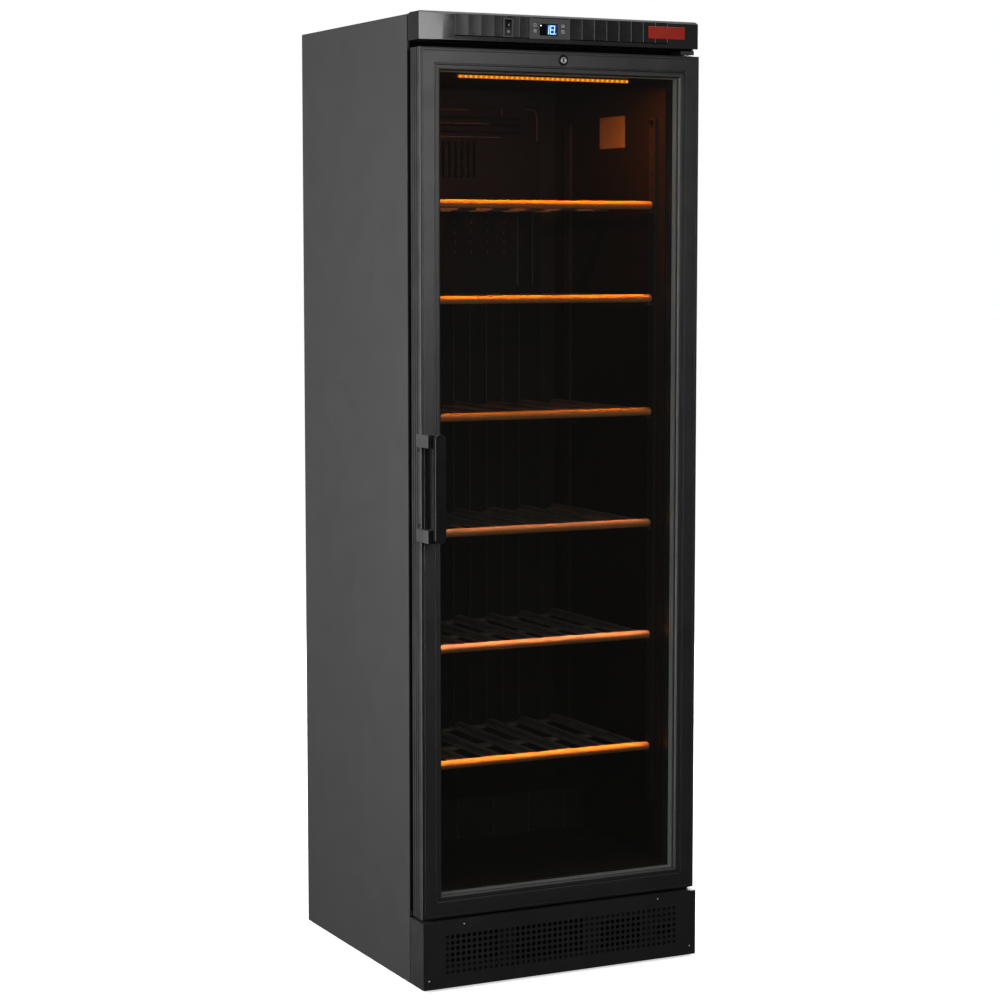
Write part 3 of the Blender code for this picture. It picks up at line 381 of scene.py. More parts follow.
def wood(name, dark, light, along, relief):
    """Oiled beech: long growth lines with short pores along the grain."""
    finish = Finish(name, 0.50, specular=0.25)
    lines = finish.noise(0.0050, detail=6.0, stretch=stretched(along, 0.05), distortion=0.3)
    finish.colour_between(lines, dark, light, 0.32, 0.68)
    pores = finish.noise(0.0009, detail=2.0, stretch=stretched(along, 0.12))
    finish.roughness_between(pores, 0.10)
    finish.bump(lines, relief, 0.0004)
    finish.bump(pores, relief, 0.0001)
    return finish.material


def glowing(name, colour, strength, roughness=0.35):
    finish = Finish(name, roughness)
    finish.colour_between(finish.noise(0.002, detail=2.0), shade(colour, 0.8), colour)
    preset(finish.shader, Emission_Color=(*colour, 1.0), Emission_Strength=strength)
    finish.bump(finish.noise(0.0008), 0.1, 0.0001)
    return finish.material


def tinted_glass(name, colour, alpha):
    """A pane's film of tint: mostly clear, with a faint wander in its polish."""
    finish = Finish(name, 0.03, specular=0.6)
    finish.colour_between(finish.noise(0.25, detail=2.0), shade(colour, 0.9), colour)
    preset(finish.shader, Alpha=alpha)
    finish.roughness_between(finish.noise(0.09, detail=5.0), 0.02)
    return finish.material


STEEL_PAINT = coated("charcoal_powder_coat", (0.0222, 0.0222, 0.0224), 0.40, 0.0011, 0.32,
                     variation=0.02, spread=0.015)
BAFFLE_STEEL = coated("baffle_steel", grey(0.0075), 0.60, 0.004, 0.10, variation=0.1, specular=0.2)
ZINC = coated("zinc_plate", (0.32, 0.33, 0.34), 0.42, 0.004, 0.10, variation=0.25, metallic=0.9)
FOAM = coated("rigid_foam", (0.62, 0.52, 0.30), 0.90, 0.0015, 0.6)
LINER = coated("liner_plastic", (0.0090, 0.0098, 0.0082), 0.48, 0.0009, 0.25, specular=0.20)
COVER_BLACK = coated("cover_plastic", (0.0030, 0.0032, 0.0028), 0.50, 0.0009, 0.25, specular=0.12)
# Lighter grey than the cover and step the ribs stand on: painted glints along them. The sensor tube takes
# the same grey.
RIB_GLINT_GREY = coated("cover_rib_grey", (0.040, 0.042, 0.042), 0.32, 0.0006, 0.15)
# Matte near-black for strips, shims and sheets put where there is only shade: painted shade.
SHADE_BLACK = coated("seal_foam", grey(0.0022), 0.90, 0.0010, 0.5, specular=0.02)
HEADER = coated("header_gloss", (0.020, 0.020, 0.0202), 0.12, 0.0030, 0.02, spread=0.02, specular=0.66)
RIBS = coated("header_ribs", (0.012, 0.012, 0.0122), 0.20, 0.0030, 0.03, spread=0.03)
CASE_GREY = coated("controller_plastic", (0.030, 0.031, 0.033), 0.34, 0.0007, 0.2)
WINDOW = coated("display_window", (0.0035, 0.0036, 0.0050), 0.08, 0.004, 0.02, spread=0.02)
KEY_GREY = coated("key_plastic", (0.040, 0.041, 0.043), 0.45, 0.0005, 0.25)
SWITCH_BLACK = coated("switch_plastic", (0.010, 0.010, 0.011), 0.22, 0.0008, 0.1)
SWITCH_RIM = coated("switch_frame_plastic", (0.016, 0.016, 0.017), 0.38, 0.0006, 0.25)
MARK_WHITE = coated("printed_white", grey(0.62), 0.50, 0.0004, 0.2)
RED = coated("badge_enamel", (0.32, 0.022, 0.012), 0.20, 0.002, 0.08, variation=0.08, coat=0.5)
FRAME_BLACK = coated("frame_satin", (0.0160, 0.0160, 0.0162), 0.35, 0.0008, 0.22, variation=0.08)
SPACER = coated("spacer_aluminium", (0.34, 0.365, 0.335), 0.45, 0.0015, 0.15, metallic=0.15)
RUBBER = coated("gasket_rubber", grey(0.014), 0.62, 0.0005, 0.4, specular=0.3)
CHROME = brushed("lock_chrome", grey(0.42), 0.30, "X")
LOCK_BLACK = coated("lock_ring_black", grey(0.004), 0.30, 0.0006, 0.1, specular=0.12)
HINGE_BLACK = coated("hinge_paint", (0.018, 0.018, 0.0185), 0.40, 0.0007, 0.3)
PIN_STEEL = brushed("pin_steel", grey(0.55), 0.28, "Z")
NYLON = coated("bush_nylon", (0.62, 0.61, 0.57), 0.48, 0.0006, 0.2)
HANDLE_BLACK = coated("handle_satin", (0.008, 0.008, 0.0083), 0.16, 0.0012, 0.04, spread=0.04)
BRACKET_GREY = coated("bracket_plastic", (0.018, 0.018, 0.0184), 0.46, 0.0007, 0.5)
SCREW_DARK = coated("screw_blackened", grey(0.004), 0.55, 0.0005, 0.2, specular=0.15)
SCREW_BRIGHT = brushed("screw_bright", grey(0.30), 0.34, "X")
RAIL_WOOD = wood("rail_wood", (0.44, 0.180, 0.050), (0.50, 0.206, 0.058), "X", relief=0.02)
SLAT_WOOD = wood("slat_wood", (0.085, 0.076, 0.056), (0.165, 0.150, 0.115), "Y", relief=0.20)
UPRIGHT_PAINT = coated("upright_paint", (0.020, 0.019, 0.018), 0.40, 0.0008, 0.25, metallic=0.2)
LAMP = glowing("lamp_diffuser", (1.0, 0.24, 0.002), 1.0)
LAMP_DOT = glowing("lamp_chip", (1.0, 0.45, 0.02), 2.2)
DIGIT = glowing("digit_blue", (0.36, 0.66, 1.0), 1.35)
PILOT = glowing("pilot_white", (0.80, 0.84, 0.88), 0.7)
# Faint blue emission: painted glow round the lit figures.
PAINTED_GLOW = glowing("digit_halo", (0.001, 0.008, 0.20), 0.30)
COPPER = coated("coil_copper", (0.50, 0.24, 0.14), 0.30, 0.002, 0.15, variation=0.3, metallic=1.0)
POT_BLACK = coated("compressor_paint", (0.010, 0.010, 0.0105), 0.26, 0.0012, 0.25)
TRAY_GREY = coated("tray_plastic", (0.09, 0.09, 0.092), 0.55, 0.0008, 0.3)
WHEEL_BLACK = coated("wheel_nylon", grey(0.022), 0.52, 0.0006, 0.3)
COIL_BLACK = coated("condenser_paint", (0.013, 0.013, 0.0135), 0.42, 0.0008, 0.3)
PANEL_GREY = coated("rear_paint", (0.050, 0.051, 0.053), 0.48, 0.0012, 0.3)
LABEL = coated("blank_label", (0.27, 0.26, 0.25), 0.40, 0.0010, 0.08, variation=0.04)
OUTER_GLASS = tinted_glass("outer_pane", (0.014, 0.013, 0.012), 0.20)
INNER_GLASS = tinted_glass("inner_pane", (0.014, 0.013, 0.012), 0.10)


def dress(nodes, material):
    """Gives CAD nodes that stay in view their finish."""
    for name in nodes:
        mesh = frame["nodes"][name].data
        mesh.materials.clear()
        mesh.materials.append(material)


# --- Header and its controls ------------------------------
def header():
    """Gloss canopy with a chamfered brow, slanted ends and a recess for the ribbed band."""
    low, high = HEADER_LOW, HEADER_HIGH
    brow = 0.0045
    chin = 0.0015
    outline = [(low.y, high.z - brow), (low.y + brow, high.z), (high.y, high.z), (high.y, low.z)]
    outline += arc((low.y + chin, low.z + chin), (chin, chin), 270, 180, 3)
    shell = prism(bmesh.new(), outline, 0, low.x, high.x)
    wall = 0.0030
    behind_band = low.y + RIB_RECESS + 0.0020
    hollow = box(bmesh.new(), (low.x + wall, high.x - wall), (behind_band, high.y + wall),
                 (low.z + wall, high.z - wall))
    shell = carved(carved(shell, hollow), header_ends())
    right = RIB_LEFT + RIB_PITCH * RIB_PANELS
    side = 0.0012
    recess = box(bmesh.new(), (RIB_LEFT - side, right + side), (low.y - CUT, low.y + RIB_RECESS), RIB_BAND)
    shell = carved(carved(shell, recess), control_windows())
    piece("header_shell", shell, HEADER, ["header_cover"], bevel=0.0005)
    piece("header_band", rib_band(low.y, right), RIBS, angle=18)
    # A near-black strip under the ribbed band: painted shade along the foot of its recess.
    bead = box(bmesh.new(), (RIB_LEFT, right), (low.y + 0.0004, low.y + RIB_RECESS - 0.0002),
               (RIB_BAND[0] + 0.0002, RIB_BAND[0] + 0.0017))
    piece("band_bead", carved(bead, control_windows()), SHADE_BLACK, bevel=0.0003)


def gap_seal():
    """Near-black strips on the cabinet's front above the door, either side of the lock's keeper: painted
    shade in the gap.
    """
    keeper_low, keeper_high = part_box("lock_keeper")
    hinge_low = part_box("hinge_bracket_upper")[0]
    front = LINER_LOW.y
    gap = 0.0004
    strips = bmesh.new()
    for x in ((DOOR_LOW.x + 0.003, keeper_low.x - gap), (keeper_high.x + gap, hinge_low.x - gap)):
        box(strips, x, (front - 0.0022, front - 0.0002), (DOOR_HIGH.z + 0.0006, HEADER_LOW.z - 0.0004))
    piece("gap_seal", strips, SHADE_BLACK, bevel=0.0004)


def header_ends():
    """Wedges taken off the canopy: a chamfer over each end, and a slant across the left end's front."""
    low, high = HEADER_LOW, HEADER_HIGH
    chamfer = 0.0040
    slant_from = low.x + 0.0490
    slant_depth = 0.0017
    tools = bmesh.new()
    for edge, out in ((low.x, -1), (high.x, 1)):
        over = ((edge - out * chamfer, high.z + SLIVER), (edge + out * CUT, high.z + SLIVER),
                (edge + out * CUT, high.z - chamfer - CUT), (edge + out * SLIVER, high.z - chamfer))
        prism(tools, over, 1, low.y - CUT, high.y + CUT)
    front = ((low.x - CUT, low.y - CUT), (slant_from, low.y - CUT), (slant_from, low.y),
             (low.x - CUT, low.y + slant_depth * 1.2))
    return combined(tools, prism(bmesh.new(), front, 2, low.z - CUT, high.z + CUT), "UNION")


def control_windows():
    gap = 0.0003
    tools = bmesh.new()
    for low, high in ((CASE_LOW, CASE_HIGH), (SWITCH_LOW, SWITCH_HIGH)):
        box(tools, (low.x - gap, high.x + gap), (low.y - CUT, low.y + 0.03), (low.z - gap, high.z + gap))
    return tools


def rib_band(front, right):
    """Panels that are barely hollow, between half-round upright ribs."""
    rib = 0.0008
    edge = front + 0.0011
    hollow = 0.00012
    outline = []
    for i in range(RIB_PANELS + 1):
        middle = RIB_LEFT + RIB_PITCH * i
        outline += arc((middle, edge), (rib, -rib), 180, 0, 6)
        if i < RIB_PANELS:
            for step in range(1, 6):
                share = step / 6
                x = middle + rib + (RIB_PITCH - 2 * rib) * share
                outline.append((x, edge + hollow * math.sin(math.pi * share)))
    back = front + RIB_RECESS - 0.0002
    outline += [(right + rib, back), (RIB_LEFT - rib, back)]
    band = prism(bmesh.new(), outline, 2, RIB_BAND[0] + 0.0019, RIB_BAND[1] - 0.0004)
    return carved(band, control_windows())


def controller():
    """Thermostat case with its lens, lit figures and four keys."""
    case = block(CASE_LOW, CASE_HIGH)
    gap = 0.0003
    tools = box(bmesh.new(), (LENS_LOW.x - gap, LENS_HIGH.x + gap), (LENS_LOW.y - CUT, LENS_HIGH.y + gap),
                (LENS_LOW.z - gap, LENS_HIGH.z + gap))
    for name in BUTTONS:
        low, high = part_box(name)
        box(tools, (low.x - gap, high.x + gap), (low.y - CUT, high.y + 0.0025), (low.z - gap, high.z + gap))
    piece("controller_bezel", carved(case, tools), CASE_GREY,
          ["controller_case"], bevel=0.0005)
    dress(["display_lens"], WINDOW)
    for name in BUTTONS:
        low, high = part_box(name)
        piece(name + "_cap", block(low, high), KEY_GREY, [name], body=name, bevel=0.0006,
              segments=3)
        piece(name + "_mark", key_mark(low, high, BUTTONS.index(name)), MARK_WHITE, body=name)
    piece("display_figures", figures("18"), DIGIT)
    face = LENS_LOW.y
    margin = 0.0012
    # An emitting sheet round the figures: painted glow of their light in the window.
    painted_glow = box(bmesh.new(), (LENS_HIGH.x - 0.0220, LENS_HIGH.x - 0.0018), (face - 0.00005, face),
               (LENS_LOW.z + margin, LENS_HIGH.z - margin))
    piece("display_halo", painted_glow, PAINTED_GLOW)
    lamp_at = Vector((LENS_LOW.x + 0.0022, face, LENS_HIGH.z - 0.0030))
    dot = rod(bmesh.new(), lamp_at - Vector((0, 0.0002, 0)), lamp_at, 0.0014, 16)
    piece("display_pilot", dot, PILOT)


def key_mark(low, high, kind):
    """A thin printed square on a key, with a bar or a cross inside it."""
    middle = (low + high) / 2
    front = (low.y - 0.0001, low.y)
    half = 0.0030
    line = 0.00055
    bm = bmesh.new()
    for side in (-1, 1):
        edge = side * half
        box(bm, around(middle.x, half), front, sorted_pair(middle.z + edge, -side * line))
        box(bm, sorted_pair(middle.x + edge, -side * line), front, around(middle.z, half))
    reach = 0.0015
    box(bm, around(middle.x, reach), front, around(middle.z, line / 2))
    if kind in (1, 2):
        box(bm, around(middle.x, line / 2), front, around(middle.z, reach))
    return bm


def sorted_pair(start, step):
    return tuple(sorted((start, start + step)))


def figures(text):
    """Seven-segment figures, slanted a little, and a decimal point."""
    lit = {"1": "bc", "8": "abcdefg"}
    height = 0.0165
    width = 0.0100
    thick = 0.0018
    advance = 0.0118
    front = LENS_LOW.y - 0.00015
    bottom = (LENS_LOW.z + LENS_HIGH.z - height) / 2
    left = LENS_HIGH.x - 0.0062 - advance * len(text) + (advance - width)
    trim = 0.00020
    bm = bmesh.new()
    for i, figure in enumerate(text):
        x = left + advance * i
        half = height / 2
        bars = {
            "a": (x, x + width, height - thick, height), "d": (x, x + width, 0, thick),
            "g": (x, x + width, half - thick / 2, half + thick / 2),
            "b": (x + width - thick, x + width, half, height), "c": (x + width - thick, x + width, 0, half),
            "f": (x, x + thick, half, height), "e": (x, x + thick, 0, half),
        }
        for segment in lit[figure]:
            x0, x1, z0, z1 = bars[segment]
            box(bm, (x0 + trim, x1 - trim), (front, LENS_LOW.y), (bottom + z0 + trim, bottom + z1 - trim))
    point = left + advance * len(text) - 0.0006
    box(bm, (point, point + thick), (front, LENS_LOW.y), (bottom, bottom + thick))
    slant = 0.08
    for vert in bm.verts:
        vert.co.x += slant * (vert.co.z - bottom)
    return bm


def light_switch():
    low, high = SWITCH_LOW, SWITCH_HIGH
    rocker_low, rocker_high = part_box("light_switch_rocker")
    clear = 0.0004
    opening = box(bmesh.new(), (rocker_low.x - clear, rocker_high.x + clear), (low.y - CUT, high.y + CUT),
                  (low.z + 0.0032, high.z - 0.0032))
    piece("light_switch_rim", carved(block(low, high), opening), SWITCH_RIM,
          ["light_switch_frame"], bevel=0.0006)
    dress(["light_switch_rocker"], SWITCH_BLACK)
    marks = bmesh.new()
    box(marks, (-0.0004, 0.0004), (-0.0104, -0.0101), (0.0045, 0.0078))
    turned(marks, ((0.0011, -0.0001), (0.0017, -0.0001), (0.0017, 0.0001), (0.0011, 0.0001)),
           (0, -0.0102, -0.0062), "Y", 24)
    to_pivot = Matrix.Translation(((rocker_low.x + rocker_high.x) / 2, *SWITCH_PIVOT))
    tip = Matrix.Rotation(math.radians(SWITCH_REST_TIP), 4, "X")
    bmesh.ops.transform(marks, matrix=to_pivot @ tip, verts=marks.verts)
    piece("light_switch_marks", marks, MARK_WHITE, body="light_switch")


# --- Plinth -----------------------------------------------
def plinth():
    """Folded skirt whose front is pierced by rows of round holes."""
    low, high = PLINTH_LOW, PLINTH_HIGH
    sheet = 0.0010
    back = high.y - 0.0012
    front = pierced_front(low, high)
    bmesh.ops.recalc_face_normals(front, faces=front.faces)
    bmesh.ops.solidify(front, geom=front.faces, thickness=sheet)
    piece("plinth_front", front, FRAME_BLACK, ["plinth_grille"])
    returns = bmesh.new()
    for side in (low.x, high.x - sheet):
        box(returns, (side, side + sheet), (low.y + 0.0003, back), (low.z, high.z - sheet))
    box(returns, (low.x, high.x), (low.y + sheet * 0.5, high.y - 0.0045), (high.z - sheet, high.z))
    piece("plinth_returns", returns, FRAME_BLACK, bevel=0.0003)
    for i, (x, z) in enumerate(PLINTH_SCREWS):
        head = pan_head((x, low.y, z), 0.0026)
        piece(f"plinth_screw_{i + 1}", head, SCREW_BRIGHT)
    piece("plinth_baffle", baffle(), BAFFLE_STEEL, bevel=0.0003)
    # A near-black sheet behind the grille closes the compartment's open back; its black is painted shade
    # seen through the holes.
    shade_backing_y = low.y + 0.012
    shade_backing = box(bmesh.new(), (-0.275, 0.275), (shade_backing_y, shade_backing_y + 0.001), (0.012, 0.128))
    piece("air_shroud", shade_backing, SHADE_BLACK, bevel=0.0003)


def pierced_front(low, high):
    """A flat sheet of cells. A pierced cell is a square with a twelve-sided hole."""
    field_left = -HOLE_PITCH[0] * HOLE_COLUMNS / 2
    columns = [low.x] + [field_left + HOLE_PITCH[0] * i for i in range(HOLE_COLUMNS + 1)] + [high.x]
    rows = [low.z] + [HOLE_FIELD_BOTTOM + HOLE_PITCH[1] * i for i in range(HOLE_ROWS + 1)] + [high.z]
    bm = bmesh.new()
    grid = [[bm.verts.new((x, low.y, z)) for z in rows] for x in columns]
    for i in range(len(columns) - 1):
        for j in range(len(rows) - 1):
            corners = (grid[i][j], grid[i + 1][j], grid[i + 1][j + 1], grid[i][j + 1])
            if 0 < i < len(columns) - 2 and 0 < j < len(rows) - 2:
                pierce(bm, corners)
            else:
                bm.faces.new(corners)
    return bm


def pierce(bm, corners):
    """Fills a square cell round a hole: three thin faces at each corner, one on each side."""
    middle = sum((corner.co for corner in corners), Vector()) / 4
    hole = [
        bm.verts.new(middle + Vector((HOLE_RADIUS * math.cos(math.radians(30 * k)), 0,
                                      HOLE_RADIUS * math.sin(math.radians(30 * k)))))
        for k in range(12)
    ]
    by_quadrant = (corners[2], corners[3], corners[0], corners[1])
    for q, corner in enumerate(by_quadrant):
        for k in range(3):
            bm.faces.new((corner, hole[(3 * q + k + 1) % 12], hole[3 * q + k]))
        bm.faces.new((corner, by_quadrant[(q + 1) % 4], hole[(3 * q + 3) % 12]))


def pan_head(centre, radius):
    """A small domed screw head facing the front, with a cross recess."""
    x, y, z = centre
    depth = radius * 0.45
    profile = [(0.0, 0.0)] + [(radius, 0.0)] + arc((0, 0), (radius, -depth), 15, 90, 5)
    head = turned(bmesh.new(), profile, (x, y, z), "Y", 24)
    arm = radius * 0.55
    slot = radius * 0.14
    for half_x, half_z in ((arm, slot), (slot, arm)):
        tool = box(bmesh.new(), around(x, half_x), (y - depth - 0.001, y - depth * 0.45),
                   around(z, half_z))
        head = carved(head, tool)
    return head


def baffle():
    """Plate behind the grille with the openings that the condenser air is drawn through."""
    y = (PLINTH_LOW.y + 0.004, PLINTH_LOW.y + 0.005)
    plate = box(bmesh.new(), (-0.290, 0.290), y, (0.012, 0.128))
    tools = bmesh.new()
    field_left = -HOLE_PITCH[0] * HOLE_COLUMNS / 2 + 0.002
    for first, last, bottom, top in BAFFLE_WINDOWS:
        box(tools, (field_left + HOLE_PITCH[0] * first, field_left + HOLE_PITCH[0] * (last + 1)),
            (y[0] - CUT, y[1] + CUT),
            (HOLE_FIELD_BOTTOM + HOLE_PITCH[1] * bottom, HOLE_FIELD_BOTTOM + HOLE_PITCH[1] * (top + 1)))
    return carved(plate, tools)


# --- Door -------------------------------------------------
def frame_section():
    """Rounded outer edge, three fine lines on the face, a rebate for the glass and three side grooves."""
    corner = 0.0007
    section = arc((corner, corner), (corner, corner), 180, 270, 4)
    flat = 0.0002
    flank = 0.0008
    for line, depth in ((0.0018, 0.0014), (0.0058, 0.0008), (0.0288, 0.0008)):
        section += [(line - flank, 0.0), (line - flat, depth), (line + flat, depth), (line + flank, 0.0)]
    section += [(0.0309, 0.0), (0.0316, 0.0007), (0.0316, 0.0084), (0.0338, 0.0084), (0.0338, 0.0307),
                (0.042, 0.0307), (0.042, 0.043), (0.041, DOOR_THICKNESS), (0.002, DOOR_THICKNESS),
                (0.0, 0.042)]
    groove = 0.0014
    for depth in (0.0365, 0.0265, 0.0165):
        section += [(0.0, depth), (groove, depth - 0.0003), (groove, depth - 0.0019), (0.0, depth - 0.0022)]
    return section


def mitre_lines():
    """Hairline cuts across the face at the door's four corners."""
    tools = bmesh.new()
    reach = 0.0312
    half = 0.00028
    for side_x, side_z in ((-1, -1), (1, -1), (1, 1), (-1, 1)):
        x = DOOR_MIDDLE.x + side_x * DOOR_HALF_WIDTH
        z = DOOR_MIDDLE.z + side_z * DOOR_HALF_HEIGHT
        inner = (x - side_x * reach, z - side_z * reach)
        outline = ((x + half, z - side_x * side_z * half), (x - half, z + side_x * side_z * half),
                   (inner[0] - half, inner[1] + side_x * side_z * half),
                   (inner[0] + half, inner[1] - side_x * side_z * half))
        prism(tools, outline, 1, DOOR_FRONT - CUT, DOOR_FRONT + 0.0004)
    return tools


def door():
    frame_ring = door_ring(bmesh.new(), frame_section())
    pin_low, pin_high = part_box("hinge_pin_upper")
    axis = (pin_low + pin_high) / 2
    bores = rod(bmesh.new(), (LOCK_CENTRE.x, DOOR_FRONT - CUT, LOCK_CENTRE.z),
                (LOCK_CENTRE.x, DOOR_FRONT + 0.06, LOCK_CENTRE.z), 0.0078, 48)
    bush = 0.0073
    rod(bores, (axis.x, axis.y, DOOR_HIGH.z - 0.0185), (axis.x, axis.y, DOOR_HIGH.z + CUT), bush, 32)
    rod(bores, (axis.x, axis.y, DOOR_LOW.z - CUT), (axis.x, axis.y, DOOR_LOW.z + 0.019), bush, 32)
    profile = carved(carved(frame_ring, bores), mitre_lines())
    piece("door_profile", profile, FRAME_BLACK, ["door_frame"], body="door")
    bead = [(0.0320, 0.0081), (0.0320, 0.0018), (0.0325, 0.0012), (0.0388, 0.0012), (0.0394, 0.0014),
            (0.0422, 0.0046), (0.0425, 0.0052), (0.0425, 0.0081)]
    piece("glazing_trim", door_ring(bmesh.new(), bead), FRAME_BLACK,
          ["glazing_bead"], body="door")
    fold = [(0.0300, 0.0443), (0.0395, 0.0443), (0.0405, 0.0455), (0.0385, 0.0470), (0.0405, 0.0487),
            (0.0405, 0.0537), (0.0398, 0.0544), (0.0292, 0.0544), (0.0285, 0.0537), (0.0285, 0.0487),
            (0.0305, 0.0470), (0.0285, 0.0455)]
    piece("gasket_bellows", door_ring(bmesh.new(), fold), RUBBER, ["door_gasket"],
          body="door")
    dress(["glass_outer"], OUTER_GLASS)
    dress(["glass_inner"], INNER_GLASS)
    dress(["glass_spacer"], SPACER)


def hinge_gap_shades():
    """Near-black blocks round the pin that fill the gaps over and under the upper hinge plate: painted
    shade in those gaps.
    """
    pin_low, pin_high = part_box("hinge_pin_upper")
    plate_low, plate_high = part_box("hinge_bracket_upper")
    axis = (pin_low + pin_high) / 2
    bore = (pin_high.x - pin_low.x) / 2 + 0.0004
    inset = 0.0005
    for place, low, high in (("upper", plate_high.z + 0.0001, HEADER_LOW.z - 0.0004),
                             ("lower", DOOR_HIGH.z + 0.0003, plate_low.z - 0.0001)):
        gap_shade = box(bmesh.new(), (plate_low.x + inset, plate_high.x - inset),
                   (plate_low.y + inset, LINER_LOW.y - 0.0004), (low, high))
        hole = rod(bmesh.new(), (axis.x, axis.y, low - CUT), (axis.x, axis.y, high + CUT), bore, 32)
        piece("hinge_shim_" + place, carved(gap_shade, hole), SHADE_BLACK, bevel=0.0003)


def lock():
    """Black ring, and a barrel whose bright lip surrounds the keyway."""
    face = LOCK_LOW.y
    centre = (LOCK_CENTRE.x, DOOR_FRONT, LOCK_CENTRE.z)
    ring = [(0.0077, -0.0003), (0.0077, -0.0018)] + arc((0.0086, -0.0014), (0.0014, 0.0008), 230, 360, 5)
    ring += [(0.0100, -0.0003)]
    piece("lock_ring", turned(bmesh.new(), ring, centre, "Y", 64), LOCK_BLACK,
          ["lock_escutcheon"], body="door")
    radius = 0.0072
    dish = 0.0011
    barrel = [(0.0, 0.0007), (0.0034, 0.0007), (0.0040, 0.0), (0.0058, 0.0), (0.0064, dish), (0.0070, dish),
              (radius, dish + 0.0004), (radius, LOCK_HIGH.y - face), (0.0, LOCK_HIGH.y - face)]
    body = turned(bmesh.new(), barrel, (centre[0], face, centre[2]), "Y", 64)
    keyway = box(bmesh.new(), (-0.0008, 0.0008), (face - CUT, face + 0.005),
                 (centre[2] - 0.0034, centre[2] + 0.0034))
    body = carved(body, keyway)
    well = rod(bmesh.new(), (0, face - CUT, centre[2]), (0, face + 0.004, centre[2]), 0.0018)
    body = carved(body, well)
    barrel_piece = piece("lock_barrel", body, LOCK_BLACK, ["lock_cylinder"], body="lock")
    barrel_piece.data.materials.append(CHROME)
    for polygon in barrel_piece.data.polygons:
        middle = polygon.center
        reach = math.hypot(middle.x - centre[0], middle.z - centre[2])
        if reach < 0.0062 and middle.y < face + 0.0010:
            polygon.material_index = 1
    dress(["lock_cam"], HINGE_BLACK)
    # The keeper sits in the gap over the door and is dressed near-black: painted shade.
    dress(["lock_keeper"], SHADE_BLACK)


def handle():
    """Flat bar with round ends on two brackets, and the brackets' cap screws."""
    low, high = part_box("handle_bar")
    outline = rounded_outline((low.x, high.x), (low.z, high.z), 0.008)
    bar = prism(bmesh.new(), outline, 1, low.y, high.y)
    piece("handle_grip", bar, HANDLE_BLACK, ["handle_bar"], bevel=0.0007,
          segments=3, body="door")
    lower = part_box("handle_bracket_lower")[1].z
    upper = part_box("handle_bracket_upper")[0].z
    lip = box(bmesh.new(), (low.x + 0.0004, low.x + 0.0044), (high.y - 0.0002, high.y + 0.0100),
              (lower + 0.0006, upper - 0.0006))
    piece("handle_lip", lip, HANDLE_BLACK, bevel=0.0010, segments=3, body="door")
    for place in ("upper", "lower"):
        low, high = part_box("handle_bracket_" + place)
        clear = 0.0003
        inner = -DOOR_HALF_WIDTH - clear
        seat = DOOR_FRONT - clear
        outline = ((low.x, low.y), (high.x, low.y), (high.x, seat), (inner, seat), (inner, high.y),
                   (low.x, high.y))
        arm = prism(bmesh.new(), outline, 2, low.z, high.z)
        arm_piece = piece(f"handle_arm_{place}", arm, BRACKET_GREY,
                          ["handle_bracket_" + place], bevel=0.0007, body="door")
        # Faces turned to the front and back take the black: painted shade on the brackets' fronts, against
        # their grey sides.
        arm_piece.data.materials.append(LOCK_BLACK)
        for polygon in arm_piece.data.polygons:
            if abs(polygon.normal.y) > 0.5:
                polygon.material_index = 1
        low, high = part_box("handle_screw_" + place)
        y, z = (low.y + high.y) / 2, (low.z + high.z) / 2
        under = low.x + 0.0011
        head = [(0.0, low.x), (0.0029, low.x), (0.0037, low.x + 0.0006), (0.0037, under), (0.0018, under),
                (0.0018, high.x), (0.0, high.x)]
        screw = turned(bmesh.new(), head, (0, y, z), "X", 32)
        socket = rod(bmesh.new(), (low.x - CUT, y, z), (low.x + 0.0007, y, z), 0.0016, 6)
        piece(f"handle_bolt_{place}", carved(screw, socket), SCREW_DARK,
              ["handle_screw_" + place], body="door")


# --- Cavity -----------------------------------------------
def racks():
    for name in RACKS:
        low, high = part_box(name)
        level = low.z + 0.00775
        rail_depth = 0.018
        nose = (high.z - low.z) / 2
        outline = arc((low.y + nose, low.z + nose), (nose, nose), 90, 270, 12)
        outline += [(low.y + rail_depth, low.z), (low.y + rail_depth, high.z)]
        rail = prism(bmesh.new(), outline, 0, low.x, high.x)
        piece(name + "_rail", rail, RAIL_WOOD, [name], bevel=0.0018, segments=3, body=name)
        piece(name + "_slats", slats(low, high, level, rail_depth), SLAT_WOOD, body=name,
              angle=24)


def slats(low, high, level, rail_depth):
    """Slats with hollow flanks that cradle the bottles, on two cross bars."""
    bm = bmesh.new()
    top = level + 0.0055
    foot = level - 0.0050
    overhang = 0.0035
    first = low.x + SLAT_FOOT / 2 - overhang
    pitch = (high.x - low.x - SLAT_FOOT + 2 * overhang) / (SLAT_COUNT - 1)
    flank_wide = (SLAT_FOOT - SLAT_TOP) / 2
    for i in range(SLAT_COUNT):
        middle = first + pitch * i
        left = arc((middle - SLAT_FOOT / 2, top - 0.0008), (flank_wide, top - foot - 0.0018), -90, 0, 6)
        right = [(2 * middle - x, z) for x, z in reversed(left)]
        crown = [(middle - SLAT_TOP / 2 + 0.001, top), (middle + SLAT_TOP / 2 - 0.001, top)]
        base = [(middle + SLAT_FOOT / 2, foot), (middle - SLAT_FOOT / 2, foot)]
        outline = [(min(max(x, low.x), high.x), z) for x, z in left + crown + right + base]
        prism(bm, outline, 1, low.y + rail_depth - 0.003, high.y)
    for near, far in ((-0.010, 0.012), (high.y - 0.018, high.y)):
        box(bm, (low.x, high.x), (near, far), (foot - 0.0042, foot + 0.0002))
    return bm


